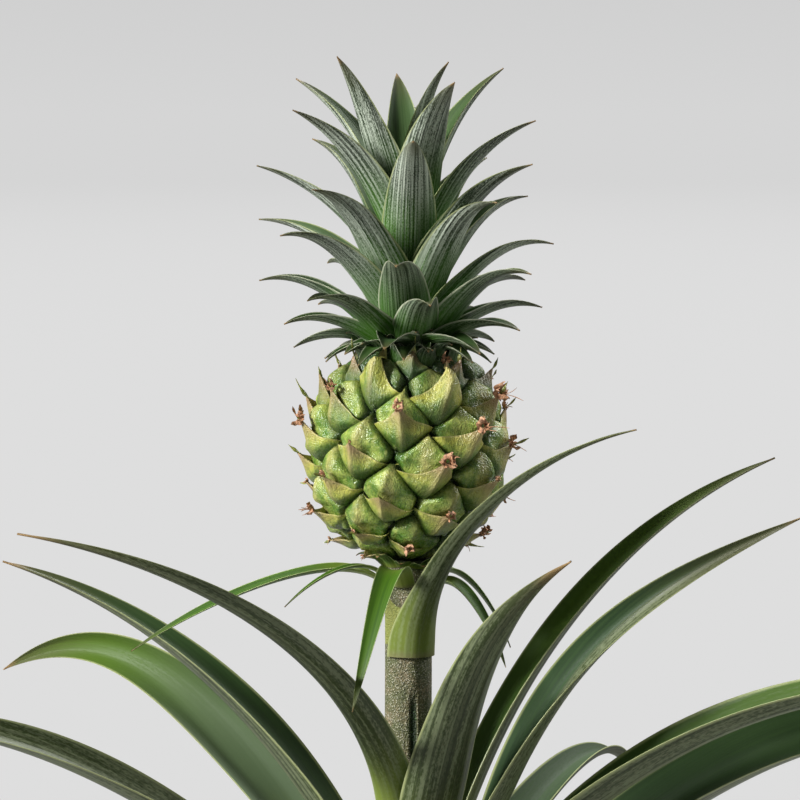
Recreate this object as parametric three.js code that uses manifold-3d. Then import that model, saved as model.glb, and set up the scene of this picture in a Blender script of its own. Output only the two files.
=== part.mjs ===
// A potted ornamental pineapple plant: a clay pot of soil, a leafy rosette, a flower stalk,
// one small pineapple and its crown.
//
// Millimetres, +Z up, the origin at the centre of the pot's underside. The plant's front faces -Y.
// A bearing is an angle round the stem in degrees: 0 points to the front, 90 to +X, 180 to the back.
// A lean is an angle from the vertical in degrees: 0 points up, 90 lies level, 180 hangs down.

import * as THREE from "three";
import { ConvexGeometry } from "three/addons/geometries/ConvexGeometry.js";
import { mergeVertices } from "three/addons/utils/BufferGeometryUtils.js";
import Module from "manifold-3d";

const wasm = await Module();
wasm.setup();

// Fit
const GAP = 0.3; // between pieces that touch

// Pot
const POT_HEIGHT = 108;
const POT_RIM_R = 60;
const POT_RIM_HEIGHT = 21;
const POT_NECK = POT_HEIGHT - POT_RIM_HEIGHT; // the height where the rim starts
const POT_NECK_R = 55.5; // just under the rim
const POT_FOOT_R = 41;
const POT_WALL = 4.5;
const POT_FLOOR = 6;
const POT_FOOT_EDGE = 1; // how far the edge of the foot is rounded off
const POT_LIP_EDGE = 1.5; // the same of the rim's upper edges
const POT_RIM_STEP = 2; // height of the slope under the rim
const POT_MOUTH_R = 53; // inside the rim, under its rounded edge
const POT_SIDES = 32;
const DRAIN_HOLES = 4;
const DRAIN_R = 5;
const DRAIN_RING_R = 21;
const DRAIN_SIDES = 10;

// Soil
const SOIL_TOP = 96;
const SOIL_CROWN = 3; // how far the soil heaps up round the stem
const SOIL_HEAP_R = 28; // where the heap is half as high
const SOIL_EDGE = 4; // the width of the slope along the pot's wall
const STEM_DEPTH = 14; // of the stem's hole in the soil

// Stem: the trunk inside the rosette, then the bare stalk under the fruit
const TRUNK_R = 9.5;
const TRUNK_TOP = 196;
const TRUNK_TAPER = 14; // height over which the trunk narrows to the stalk
const STALK_R = 8.3;
const STALK_TOP = 279;
const STALK_TOP_R = 9.5;
const STALK_FLARE = 9; // height over which the stalk widens under the fruit
const STALK_ROOM = 5; // cut free round the stalk's top, under the fruit
const STEM_SIDES = 16;

// All blades
const LEAF_ROOM = 0.3; // more than GAP between a leaf's foot and the stem
const TIP_HALF_WIDTH = 0.5;
const TIP_THICKNESS = 0.6;
const REACH = [0.36, 0.36];

// Rosette leaves: tip is its distance from the axis and its height, reach how far the leans at foot
// and tip carry as shares of the chord, half is half of the width, sheath the same at the foot,
// curl the half-angle of the gutter, swerve a turn of the bearing and twist a roll on the way to
// the tip. Fullness and shoulder shape the taper. Each leaf names what sets it apart.
const ROSETTE = {
  half: 12,
  sheath: 9.5,
  curl: 55,
  sheathShare: 0.14,
  thick: 1.9,
  fullness: 1.8,
  shoulder: 0.9,
};
const ROSETTE_FOOT_R = TRUNK_R + GAP + ROSETTE.thick / 2 + LEAF_ROOM;
const ROSETTE_STEPS = 8;
const ROSETTE_ACROSS = 5;

// The leaves that stand over the pot's rim, from the highest on the stem downwards
const UPPER_LEAVES = [
  {
    bearing: -17, z: 188, tip: [163, 297], leans: [6, 77], reach: [0.15, 0.25],
    swerve: -33, twist: 15, half: 9,
  },
  {
    bearing: 26, z: 170, tip: [97, 286], leans: [25, 62], reach: [0.3, 0.45],
    swerve: 7, twist: -15, half: 15, curl: 48,
  },
  {
    bearing: 103, z: 159, tip: [129, 312], leans: [13, 68], reach: [0.32, 0.37],
    swerve: -3, twist: 35, half: 11.5,
  },
  {
    bearing: -95, z: 154, tip: [140, 277], leans: [24, 73], reach: [0.3, 0.4],
    twist: -25, half: 15,
  },
  {
    bearing: 60, z: 147, tip: [141, 298], leans: [34, 66], reach: [0.35, 0.55],
    swerve: 8, twist: 90, half: 15,
  },
  {
    bearing: -120, z: 141, tip: [168, 231], leans: [41, 120], reach: [0.45, 0.4],
    twist: -105, half: 16,
  },
  {
    bearing: 142, z: 136, tip: [161, 180], leans: [50, 138], reach: [0.4, 0.4],
    swerve: 6, half: 13,
  },
  {
    bearing: -66, z: 131, tip: [208, 226], leans: [45, 108], reach: [0.35, 0.3],
    swerve: -6, twist: -45, half: 15,
  },
  {
    bearing: 73, z: 127, tip: [228, 229], leans: [27, 121], reach: [0.46, 0.26],
    swerve: -2, twist: 15, half: 18, curl: 60,
  },
  {
    bearing: 91, z: 122, tip: [221, 211], leans: [44, 115], reach: [0.5, 0.33],
    twist: 70, half: 20, curl: 60,
  },
];

// The older leaves below them, by rule: each pair runs from the first to the last
const LOWER_LEAVES = 11;
const LOWER_0_BEARING = -16;
const LOWER_DIVERGENCE = 137.5;
const LOWER_FOOT_TOP = 118;
const LOWER_FOOT_STEP = 1.6;
const LOWER_TIP_R = [178, 158];
const LOWER_TIP_Z = [172, 122];
const LOWER_FOOT_LEAN = [44, 64];
const LOWER_TIP_LEAN = 122;
const LOWER_HALF_WIDTH = [12, 10.5];
const LOWER_VARY = 8; // millimetres or degrees either way

// Leaves of the stalk: the clasping one down the stalk, then the small ones under the fruit
const STALK_LEAF = {
  half: 4.2,
  sheath: 4.6,
  curl: 40,
  sheathShare: 0.12,
  thick: 1.1,
  fullness: 1.6,
  shoulder: 0.9,
};
const CLASPING_LEAF = {
  bearing: 28, z: 246, tip: [124, 330], leans: [0, 77], reach: [0.25, 0.3],
  swerve: 8, twist: 20, half: 7.2, sheath: 12.5, sheathShare: 0.16, thick: 1.4, curl: 50,
};
const STALK_LEAVES = [
  {
    bearing: -81, z: 271, tip: [95, 249], leans: [51, 124], reach: [0.25, 0.3],
    twist: -25, half: 5,
  },
  {
    bearing: -12, z: 270, tip: [63, 234], leans: [41, 165], reach: [0.45, 0.35],
    swerve: -5, half: 5.5, sheath: 4.4,
  },
  { bearing: 72, z: 269, tip: [35, 243], leans: [40, 160] },
  { bearing: 122, z: 271, tip: [42, 246], leans: [40, 158] },
  { bearing: 172, z: 270, tip: [38, 248], leans: [40, 150] },
  { bearing: -60, z: 273.4, tip: [48, 265], leans: [51, 130], half: 2.6, sheath: 2 },
];
const STALK_LEAF_STEPS = 8;
const STALK_LEAF_ACROSS = 3;

// Fruit: the eyes follow one spiral, counted downwards from an eye near the front
const FRUIT_BASE = STALK_TOP + GAP;
const FRUIT_MIDDLE = 314.5;
const FRUIT_R = 31; // of the body, in the grooves between the eyes
const FRUIT_FALL = 36; // half-height of the body under its middle
const FRUIT_RISE = 41; // half-height over it, before the crown cuts it off
const FRUIT_TOP = 346.5;
const FRUIT_SIDES = 20;
const FRUIT_RINGS = 8;
const EYE_DIVERGENCE = 99.5;
const EYE_0_BEARING = -3;
const EYE_0_HEIGHT = 329;
const EYE_STEP = 1.42; // down from one eye to the next
const EYE_STEP_TOP = 1.05; // the same above eye 0, where they crowd
const FIRST_EYE = -13;
const LAST_EYE = 32;
const EYE_HALF_WIDTH = 11.2;
const EYE_HALF_HEIGHT = 12.2;
const EYE_SKEW_DOWN = 2.6; // the right corner is lower than the left one
const EYE_SKEW_LEFT = 2.4; // the bottom corner is left of the top one
const EYE_RELIEF = 4.4;
const EYE_SUNK = 5;
const EYE_SIZES = [0.74, 0.95, 1, 1, 0.98, 0.94, 0.7]; // from the top eyes to the lowest
const EYE_SHIFTS = { "-11": -6, "-4": -8, 3: -6, 7: -4 }; // sideways in degrees, off the spiral
const BEAKS = [2.5, 3, 3.5, 2.5, 2, 1.5, 1.5]; // how far they stand up, from the top eyes to the lowest
const TALL_BEAKS = { "-11": 9, "-7": 8 };

// Crown: leaves on one spiral, counted upwards from 0, the tall leaf at the front
const CROWN_BASE = FRUIT_TOP + GAP;
const CROWN_TIP = 409;
const CROWN_CORE_R = 12;
const CROWN_CORE_TIP_R = 4;
const CROWN_CORE_SIDES = 12;
const CROWN_DIVERGENCE = 137.5;
const CROWN_0_BEARING = 2;
const FIRST_CROWN_LEAF = -44;
const LAST_CROWN_LEAF = 10;
const CROWN_ROOT_DEPTH = 2;
const CROWN_STEPS = 4;
const CROWN_ACROSS = 3;
const SMALL_CROWN_LEAVES = -35; // the leaves up to this one are small
const SMALL_CROWN_STEPS = 3;
const CROWN_SHEATH = 0.6; // width at the foot, as a share of the leaf's
const CROWN_LEAF = { curl: 46, sheathShare: 0.14, thick: 1.3, fullness: 1.7, shoulder: 0.85 };

// By leaf number: the foot's distance from the axis and its height, the same of the tip, the leans
// at foot and tip, and half of the width
const CROWN_FOOT_R = [[-44, 12], [-26, 11.2], [-13, 9.4], [0, 7], [11, 4]];
const CROWN_FOOT_Z = [[-44, 350], [-16, 350], [-11, 358], [-5, 366], [0, 377], [11, 398]];
const CROWN_TIP_R = [
  [-44, 30], [-34, 28], [-28, 40], [-19, 46], [-15, 51],
  [-3, 51], [2, 44], [6, 39], [8, 31], [11, 8],
];
const CROWN_TIP_Z = [
  [-44, 344], [-34, 348.5], [-28, 351], [-24, 358], [-15, 374],
  [-11, 387], [-3, 412], [2, 428.5], [8, 450], [11, 434],
];
const CROWN_FOOT_LEAN = [[-44, 62], [-28, 53], [-16, 46], [-5, 35], [1, 27], [11, 5]];
const CROWN_TIP_LEAN = [
  [-44, 136], [-28, 116], [-19, 104], [-11, 100],
  [-3, 74], [3, 66], [6, 59], [11, 30],
];
const CROWN_HALF_WIDTH = [
  [-44, 4], [-34, 6], [-26, 9.4], [-13, 11.2],
  [0, 11.9], [8, 12], [9, 10.5], [11, 8],
];

// How single leaves stand off the rule
const CROWN_SHIFTS = {
  "-44": { rise: 3 },
  "-42": { rise: 6, reach: -6 },
  "-41": { rise: 3 },
  "-38": { rise: 6, reach: -4 },
  "-32": { turn: -4, reach: -2 },
  "-31": { reach: -8 },
  "-29": { turn: 10 },
  "-28": { turn: 6 },
  "-27": { reach: -8 },
  "-26": { turn: 10, rise: -2, reach: -6 },
  "-21": { rise: 4 },
  "-20": { reach: -6 },
  "-19": { rise: -2 },
  "-18": { reach: 2 },
  "-16": { turn: 14, rise: 5 },
  "-14": { rise: -4 },
  "-13": { turn: 6 },
  "-12": { rise: -5, reach: 2 },
  "-10": { turn: 6 },
  "-8": { turn: 15, rise: 5, reach: -2 },
  "-7": { turn: 2, rise: -5, reach: 5 },
  "-6": { reach: -8 },
  "-5": { turn: -8 },
  "-3": { rise: 2 },
  "-2": { rise: -2, reach: 2 },
  "-1": { reach: -6, rise: -3 },
  0: { reach: 2 },
  1: { turn: 12, rise: -3, reach: -6 },
  2: { turn: -8 },
  3: { turn: -5, reach: 4 },
  5: { turn: -12, rise: 2 },
  6: { turn: -11, reach: 3 },
  7: { turn: -5, reach: 1 },
  8: { turn: -30, reach: 1, leans: [33, 35] },
  9: { turn: -15 },
  10: { turn: -6, rise: 9 },
};

const radians = THREE.MathUtils.degToRad;

// A repeatable draw from -1 to 1 for a numbered piece
function draw(number, kind) {
  const wave = Math.sin(number * 12.9898 + kind * 78.233) * 43758.5453;
  return 2 * (wave - Math.floor(wave)) - 1;
}

// The value at share t, from 0 to 1, of a list spread evenly over that range
function spread(list, t) {
  const at = THREE.MathUtils.clamp(t, 0, 1) * (list.length - 1);
  const low = Math.min(Math.floor(at), list.length - 2);
  return THREE.MathUtils.lerp(list[low], list[low + 1], at - low);
}

// The value at n of a list of [number, value] pairs in rising order
function between(pairs, n) {
  const next = Math.max(1, pairs.findIndex(([at]) => at >= n));
  const [[low, from], [high, to]] = [pairs[next - 1], pairs[next]];
  return THREE.MathUtils.mapLinear(THREE.MathUtils.clamp(n, low, high), low, high, from, to);
}

function outward(bearing) {
  return new THREE.Vector3(Math.sin(radians(bearing)), -Math.cos(radians(bearing)), 0);
}

// Solids

function solidOf(geometry) {
  const bare = geometry.index ? geometry.toNonIndexed() : geometry.clone();
  bare.deleteAttribute("normal");
  bare.deleteAttribute("uv");
  const merged = mergeVertices(bare, 1e-4);
  return new wasm.Manifold(
    new wasm.Mesh({
      numProp: 3,
      vertProperties: new Float32Array(merged.attributes.position.array),
      triVerts: new Uint32Array(merged.index.array),
    }),
  );
}

function geometryOf(solid) {
  const mesh = solid.getMesh();
  const geometry = new THREE.BufferGeometry();
  geometry.setAttribute("position", new THREE.BufferAttribute(mesh.vertProperties, 3));
  geometry.setIndex(new THREE.BufferAttribute(mesh.triVerts, 1));
  geometry.computeVertexNormals();
  return geometry;
}

function joined(solids) {
  return wasm.Manifold.union(solids);
}

// A solid of revolution round Z from [radius, height] points, listed from the axis up the outside
function turned(profile, sides) {
  const geometry = new THREE.LatheGeometry(
    profile.map(([r, z]) => new THREE.Vector2(r, z)),
    sides,
  );
  return geometry.rotateX(Math.PI / 2);
}

// Blades: a blade runs from its foot to its tip, both [distance from the axis, height]

// Points along the midrib, each with its forward, sideways and upper-face directions
function midrib(blade, steps) {
  const { bearing, leans, reach = REACH, swerve = 0, twist = 0 } = blade;
  const foot = new THREE.Vector2(...blade.foot);
  const tip = new THREE.Vector2(...blade.tip);
  const chord = foot.distanceTo(tip);
  const along = (lean) => new THREE.Vector2(Math.sin(radians(lean)), Math.cos(radians(lean)));
  const curve = new THREE.CubicBezierCurve(
    foot,
    foot.clone().addScaledVector(along(leans[0]), reach[0] * chord),
    tip.clone().addScaledVector(along(leans[1]), -reach[1] * chord),
    tip,
  );
  const at = (s) => {
    const { x, y } = curve.getPoint(s);
    return outward(bearing + swerve * s * s).multiplyScalar(x).setZ(y);
  };
  return Array.from({ length: steps + 1 }, (_, j) => {
    const s = j / steps;
    const forward = at(Math.min(s + 0.01, 1)).sub(at(Math.max(s - 0.01, 0))).normalize();
    const flat = outward(bearing + swerve * s * s + 90);
    const side = flat.addScaledVector(forward, -flat.dot(forward)).normalize();
    const upper = new THREE.Vector3().crossVectors(forward, side);
    const roll = radians(twist) * s;
    return {
      point: at(s),
      side: side.clone().multiplyScalar(Math.cos(roll)).addScaledVector(upper, Math.sin(roll)),
      upper: upper.clone().multiplyScalar(Math.cos(roll)).addScaledVector(side, -Math.sin(roll)),
    };
  });
}

// Half the width, the half-angle of the gutter and the thickness at share s of the length
function section(blade, s) {
  const { half, sheath = half, curl, sheathCurl = curl, sheathShare = 0.16, thick } = blade;
  const { fullness = 1.7, shoulder = 0.8 } = blade;
  const taper = (1 - s ** fullness) ** shoulder;
  const clasp = Math.exp(-((s / sheathShare) ** 2));
  return {
    width: Math.max((half + (sheath - half) * clasp) * taper, TIP_HALF_WIDTH),
    angle: radians(curl + (sheathCurl - curl) * clasp),
    thickness: Math.max(thick * (1 - 0.6 * s), TIP_THICKNESS),
  };
}

// A closed gutter-shaped blade with the given steps along it and points across each face
function bladeGeometry(blade, steps, across) {
  const stations = midrib(blade, steps);
  const positions = [];
  for (const face of [0.5, -0.5]) {
    for (let j = 0; j <= steps; j++) {
      const s = j / steps;
      const { point, side, upper } = stations[j];
      const { width, angle, thickness } = section(blade, s);
      for (let i = 0; i < across; i++) {
        const q = (2 * i) / (across - 1) - 1;
        const edgeThickness = Math.max(thickness * (1 - 0.45 * q * q), TIP_THICKNESS);
        const arc = q * angle;
        const p = point.clone();
        p.addScaledVector(side, (width * Math.sin(arc)) / angle);
        p.addScaledVector(upper, (width * (1 - Math.cos(arc))) / angle);
        p.addScaledVector(upper, face * edgeThickness * Math.cos(arc));
        p.addScaledVector(side, -face * edgeThickness * Math.sin(arc));
        positions.push(p.x, p.y, p.z);
      }
    }
  }
  const index = [];
  const top = (j, i) => j * across + i;
  const under = (j, i) => (steps + 1 + j) * across + i;
  for (let j = 0; j < steps; j++) {
    for (let i = 0; i < across - 1; i++) {
      index.push(top(j, i), top(j + 1, i + 1), top(j, i + 1));
      index.push(top(j, i), top(j + 1, i), top(j + 1, i + 1));
      index.push(under(j, i), under(j, i + 1), under(j + 1, i + 1));
      index.push(under(j, i), under(j + 1, i + 1), under(j + 1, i));
    }
    const last = across - 1;
    index.push(top(j, 0), under(j, 0), under(j + 1, 0));
    index.push(top(j, 0), under(j + 1, 0), top(j + 1, 0));
    index.push(top(j, last), under(j + 1, last), under(j, last));
    index.push(top(j, last), top(j + 1, last), under(j + 1, last));
  }
  for (let i = 0; i < across - 1; i++) {
    index.push(top(0, i), top(0, i + 1), under(0, i + 1));
    index.push(top(0, i), under(0, i + 1), under(0, i));
    index.push(top(steps, i), under(steps, i + 1), top(steps, i + 1));
    index.push(top(steps, i), under(steps, i), under(steps, i + 1));
  }
  const geometry = new THREE.BufferGeometry();
  geometry.setAttribute("position", new THREE.Float32BufferAttribute(positions, 3));
  geometry.setIndex(index);
  return geometry;
}

// Pot and soil

function potSolid() {
  const body = turned(
    [
      [0, 0],
      [POT_FOOT_R - POT_FOOT_EDGE, 0],
      [POT_FOOT_R, POT_FOOT_EDGE],
      [POT_NECK_R, POT_NECK],
      [POT_RIM_R, POT_NECK + POT_RIM_STEP],
      [POT_RIM_R, POT_HEIGHT - POT_LIP_EDGE],
      [POT_RIM_R - POT_LIP_EDGE, POT_HEIGHT],
      [POT_MOUTH_R + POT_LIP_EDGE, POT_HEIGHT],
      [POT_MOUTH_R, POT_HEIGHT - POT_LIP_EDGE],
      [POT_NECK_R - POT_WALL, POT_NECK],
      [POT_FOOT_R - POT_WALL, POT_FLOOR],
      [0, POT_FLOOR],
    ],
    POT_SIDES,
  );
  const drains = Array.from({ length: DRAIN_HOLES }, (_, k) => {
    const place = outward((360 / DRAIN_HOLES) * (k + 0.5)).multiplyScalar(DRAIN_RING_R);
    const hole = new THREE.CylinderGeometry(DRAIN_R, DRAIN_R, POT_FLOOR * 3, DRAIN_SIDES);
    return solidOf(hole.rotateX(Math.PI / 2).translate(place.x, place.y, 0));
  });
  return solidOf(body).subtract(joined(drains));
}

// The inner wall's radius at a height over the floor
function potInside(z) {
  const wall = [
    [POT_FLOOR, POT_FOOT_R - POT_WALL],
    [POT_NECK, POT_NECK_R - POT_WALL],
    [POT_HEIGHT - POT_LIP_EDGE, POT_MOUTH_R],
  ];
  return between(wall, z);
}

function soilGeometry() {
  const hole = TRUNK_R + GAP;
  const slack = GAP / Math.cos(Math.PI / POT_SIDES);
  return turned(
    [
      [0, POT_FLOOR + GAP],
      [potInside(POT_FLOOR) - 2 * slack, POT_FLOOR + GAP],
      [potInside(POT_NECK) - slack, POT_NECK],
      [potInside(SOIL_TOP - 1) - slack, SOIL_TOP - 1],
      [potInside(SOIL_TOP) - SOIL_EDGE, SOIL_TOP],
      [SOIL_HEAP_R, SOIL_TOP + SOIL_CROWN / 2],
      [hole + 3, SOIL_TOP + SOIL_CROWN],
      [hole, SOIL_TOP + SOIL_CROWN - 1],
      [hole, SOIL_TOP + SOIL_CROWN - STEM_DEPTH],
      [0, SOIL_TOP + SOIL_CROWN - STEM_DEPTH],
    ],
    POT_SIDES,
  );
}

// Stem

function stemGeometry() {
  const foot = SOIL_TOP + SOIL_CROWN - STEM_DEPTH + GAP;
  return turned(
    [
      [0, foot],
      [TRUNK_R - 1, foot],
      [TRUNK_R, foot + 4],
      [TRUNK_R, TRUNK_TOP - TRUNK_TAPER],
      [STALK_R, TRUNK_TOP],
      [STALK_R, STALK_TOP - STALK_FLARE],
      [STALK_TOP_R, STALK_TOP],
      [0, STALK_TOP],
    ],
    STEM_SIDES,
  );
}

// Rosette and stalk leaves

function rosetteBlade(leaf) {
  const made = { ...ROSETTE, foot: [ROSETTE_FOOT_R, leaf.z], ...leaf };
  return { ...made, sheathCurl: THREE.MathUtils.radToDeg(made.sheath / ROSETTE_FOOT_R) };
}

function lowerLeaf(k) {
  const age = k / (LOWER_LEAVES - 1);
  return {
    bearing: LOWER_0_BEARING + LOWER_DIVERGENCE * k,
    z: LOWER_FOOT_TOP - LOWER_FOOT_STEP * k,
    tip: [
      spread(LOWER_TIP_R, age) + LOWER_VARY * draw(k, 1),
      spread(LOWER_TIP_Z, age) + LOWER_VARY * draw(k, 2),
    ],
    leans: [spread(LOWER_FOOT_LEAN, age), LOWER_TIP_LEAN + LOWER_VARY * draw(k, 3)],
    half: spread(LOWER_HALF_WIDTH, age),
  };
}

function stalkBlade(leaf) {
  const made = { ...STALK_LEAF, ...leaf };
  const footR = STALK_R + GAP + made.thick / 2 + LEAF_ROOM;
  const sheathCurl = THREE.MathUtils.radToDeg(made.sheath / footR);
  return { ...made, foot: [footR, leaf.z], sheathCurl };
}

// Fruit

function fruitRadius(z) {
  const half = z < FRUIT_MIDDLE ? FRUIT_FALL : FRUIT_RISE;
  return FRUIT_R * Math.sqrt(Math.max(1 - ((z - FRUIT_MIDDLE) / half) ** 2, 0));
}

function fruitBody() {
  const profile = [[0, FRUIT_BASE]];
  for (let k = 0; k <= FRUIT_RINGS; k++) {
    const z = THREE.MathUtils.lerp(FRUIT_BASE, FRUIT_TOP, k / FRUIT_RINGS);
    profile.push([fruitRadius(z), z]);
  }
  profile.push([0, FRUIT_TOP]);
  return turned(profile, FRUIT_SIDES);
}

// An eye's place on the body and its own axes: across, up the fruit and out of it
function eyeFrame(n) {
  const z = EYE_0_HEIGHT - n * (n < 0 ? EYE_STEP_TOP : EYE_STEP);
  const bearing = EYE_0_BEARING + EYE_DIVERGENCE * n + (EYE_SHIFTS[n] ?? 0);
  const slope = fruitRadius(z + 0.5) - fruitRadius(z - 0.5);
  const up = outward(bearing).multiplyScalar(slope).setZ(1).normalize();
  const across = outward(bearing + 90);
  const out = new THREE.Vector3().crossVectors(across, up);
  const place = outward(bearing).multiplyScalar(fruitRadius(z)).setZ(z);
  return new THREE.Matrix4().makeBasis(across, up, out).setPosition(place);
}

// The swollen floret: a low diamond with a domed middle, in shares of its own sizes
function floretPoints(size) {
  const w = EYE_HALF_WIDTH * size;
  const h = EYE_HALF_HEIGHT * size;
  const dx = EYE_SKEW_LEFT * size;
  const dy = EYE_SKEW_DOWN * size;
  const t = EYE_RELIEF * size;
  return [
    [-w, dy, 0],
    [w, -dy, 0],
    [dx, h, 0],
    [-dx, -h, 0],
    [-0.5 * w, 0.42 * h, 0.8 * t],
    [0.48 * w, 0.36 * h, 0.8 * t],
    [-0.48 * w, -0.34 * h, 0.75 * t],
    [0.44 * w, -0.44 * h, 0.75 * t],
    [0, 0, -EYE_SUNK],
  ];
}

// The bract: a keeled leaf over the floret's lower half, which ends in a pointed beak
function bractPoints(size, beak) {
  const w = EYE_HALF_WIDTH * size;
  const h = EYE_HALF_HEIGHT * size;
  const t = EYE_RELIEF * size;
  return [
    [-0.8 * w, 0, 0.25 * t],
    [0.8 * w, -0.2 * h, 0.25 * t],
    [-0.12 * w, -0.8 * h, 0.15 * t],
    [-0.05 * w, -0.4 * h, 1.1 * t],
    [0, 0.1 * h + beak, 1.25 * t + 0.35 * beak + 1.6],
    [0, 0, 0],
  ];
}

function eyeSolid(n) {
  const t = (n - FIRST_EYE) / (LAST_EYE - FIRST_EYE);
  const size = spread(EYE_SIZES, t) * (1 + 0.03 * draw(n, 3));
  const beak = TALL_BEAKS[n] ?? spread(BEAKS, t);
  const frame = eyeFrame(n);
  const hull = (points) =>
    solidOf(new ConvexGeometry(points.map((p) => new THREE.Vector3(...p).applyMatrix4(frame))));
  return hull(floretPoints(size)).add(hull(bractPoints(size, beak)));
}

// The fruit ends flat where it meets the stalk and the crown
function fruitSolid() {
  const eyes = [];
  for (let n = FIRST_EYE; n <= LAST_EYE; n++) eyes.push(eyeSolid(n));
  const radius = STALK_TOP_R + STALK_ROOM;
  const room = new THREE.CylinderGeometry(radius, radius, EYE_HALF_HEIGHT, STEM_SIDES);
  room.rotateX(Math.PI / 2).translate(0, 0, FRUIT_BASE - EYE_HALF_HEIGHT / 2);
  return joined([solidOf(fruitBody()), ...eyes]).subtract(solidOf(room));
}

// Crown

function crownBlade(k) {
  const { turn = 0, rise = 0, reach = 0, leans } = CROWN_SHIFTS[k] ?? {};
  return {
    bearing: CROWN_0_BEARING - CROWN_DIVERGENCE * k + turn,
    foot: [between(CROWN_FOOT_R, k) - CROWN_ROOT_DEPTH, between(CROWN_FOOT_Z, k)],
    tip: [between(CROWN_TIP_R, k) + reach, between(CROWN_TIP_Z, k) + rise],
    leans: leans ?? [between(CROWN_FOOT_LEAN, k), between(CROWN_TIP_LEAN, k)],
    half: between(CROWN_HALF_WIDTH, k),
    sheath: CROWN_SHEATH * between(CROWN_HALF_WIDTH, k),
    ...CROWN_LEAF,
  };
}

function crownSolid() {
  const core = turned(
    [
      [0, CROWN_BASE],
      [CROWN_CORE_R, CROWN_BASE],
      [CROWN_CORE_TIP_R, CROWN_TIP],
      [0, CROWN_TIP + 1],
    ],
    CROWN_CORE_SIDES,
  );
  const leaves = [];
  for (let k = FIRST_CROWN_LEAF; k <= LAST_CROWN_LEAF; k++) {
    const steps = k > SMALL_CROWN_LEAVES ? CROWN_STEPS : SMALL_CROWN_STEPS;
    leaves.push(solidOf(bladeGeometry(crownBlade(k), steps, CROWN_ACROSS)));
  }
  return joined([solidOf(core), ...leaves]);
}

// Assembly

const matte = (color, roughness) => new THREE.MeshStandardMaterial({ color, roughness, metalness: 0 });
const clay = matte(0xb5694a, 0.85);
const peat = matte(0x3a2a1e, 0.95);
const bark = matte(0x75705a, 0.7);
const leafGreen = matte(0x3f5a36, 0.45);
const freshGreen = matte(0x5d8a2c, 0.45);
const eyeGreen = matte(0x8a9a48, 0.4);
const crownGreen = matte(0x4c5f47, 0.5);

const plant = new THREE.Group();

function place(name, geometry, material) {
  const mesh = new THREE.Mesh(geometry, material);
  mesh.name = name;
  plant.add(mesh);
}

const numbered = (name, k) => `${name}_${String(k).padStart(2, "0")}`;

place("pot", geometryOf(potSolid()), clay);
place("soil", soilGeometry(), peat);
place("stem", stemGeometry(), bark);
place("fruit", geometryOf(fruitSolid()), eyeGreen);
place("crown", geometryOf(crownSolid()), crownGreen);

const rosette = [...UPPER_LEAVES, ...Array.from({ length: LOWER_LEAVES }, (_, k) => lowerLeaf(k))];
rosette.forEach((leaf, k) => {
  const blade = bladeGeometry(rosetteBlade(leaf), ROSETTE_STEPS, ROSETTE_ACROSS);
  place(numbered("rosette_leaf", k + 1), blade, leafGreen);
});
const clasping = bladeGeometry(stalkBlade(CLASPING_LEAF), ROSETTE_STEPS, ROSETTE_ACROSS);
place("clasping_leaf", clasping, leafGreen);
STALK_LEAVES.forEach((leaf, k) => {
  const blade = bladeGeometry(stalkBlade(leaf), STALK_LEAF_STEPS, STALK_LEAF_ACROSS);
  place(numbered("stalk_leaf", k + 1), blade, freshGreen);
});

export default plant;
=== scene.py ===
# The looks of the potted pineapple plant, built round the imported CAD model
# Sizes are millimetres and angles degrees, as in the CAD; materials, lights and the view use metres

import math

import bpy
import numpy as np
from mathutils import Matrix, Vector


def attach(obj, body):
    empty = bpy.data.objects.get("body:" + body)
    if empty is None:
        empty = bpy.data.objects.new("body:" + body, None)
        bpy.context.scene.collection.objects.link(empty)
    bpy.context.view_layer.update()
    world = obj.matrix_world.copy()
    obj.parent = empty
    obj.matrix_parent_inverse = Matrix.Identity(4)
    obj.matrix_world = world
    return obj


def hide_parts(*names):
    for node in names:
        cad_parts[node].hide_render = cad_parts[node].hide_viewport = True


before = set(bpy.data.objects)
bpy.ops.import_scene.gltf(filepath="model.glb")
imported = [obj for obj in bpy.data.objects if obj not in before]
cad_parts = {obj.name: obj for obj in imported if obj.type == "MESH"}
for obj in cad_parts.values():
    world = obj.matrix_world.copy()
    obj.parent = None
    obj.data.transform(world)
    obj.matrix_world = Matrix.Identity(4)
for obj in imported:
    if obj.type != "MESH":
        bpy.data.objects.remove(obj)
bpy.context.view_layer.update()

# Stage and view
FILL_STRENGTH = 0.2  # of the pale surroundings as a light
SURROUNDINGS = 0.73  # how pale they are
HORIZON = 0.665
SKY = 0.625
VIEW_TILT = math.radians(3.5)
VIEW_DISTANCE = 1.6
VIEW_TARGET = Vector((-0.0027, 0, 0.3334))
VIEW_WIDTH = 0.2728  # that the camera sees at its target
VIEW_SENSOR = 36

# Fit and stem
GAP = 0.3
GOLDEN = 137.5  # from leaf to leaf round a stem
TRUNK_R = 9.5
TRUNK_TOP = 196
TRUNK_TAPER = 14
STALK_R = 8.3
STALK_TOP = 279
STALK_TOP_R = 9.5
STALK_FLARE = 9
STEM_FOOT = 85.3

# Pot and soil
POT_HEIGHT = 108
POT_RIM_R = 60
POT_NECK = POT_HEIGHT - 21
POT_NECK_R = 55.5
POT_FOOT_R = 41
POT_WALL = 4.5
POT_FLOOR = 6
POT_LIP_EDGE = 1.5
POT_RIM_STEP = 2
POT_MOUTH_R = 53
DRAIN_HOLES = 4
DRAIN_R = 5
DRAIN_RING_R = 21
SOIL_TOP = 96
SOIL_CROWN = 3
SOIL_HEAP_R = 28
SOIL_EDGE = 4
CHIPS = 260

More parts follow.
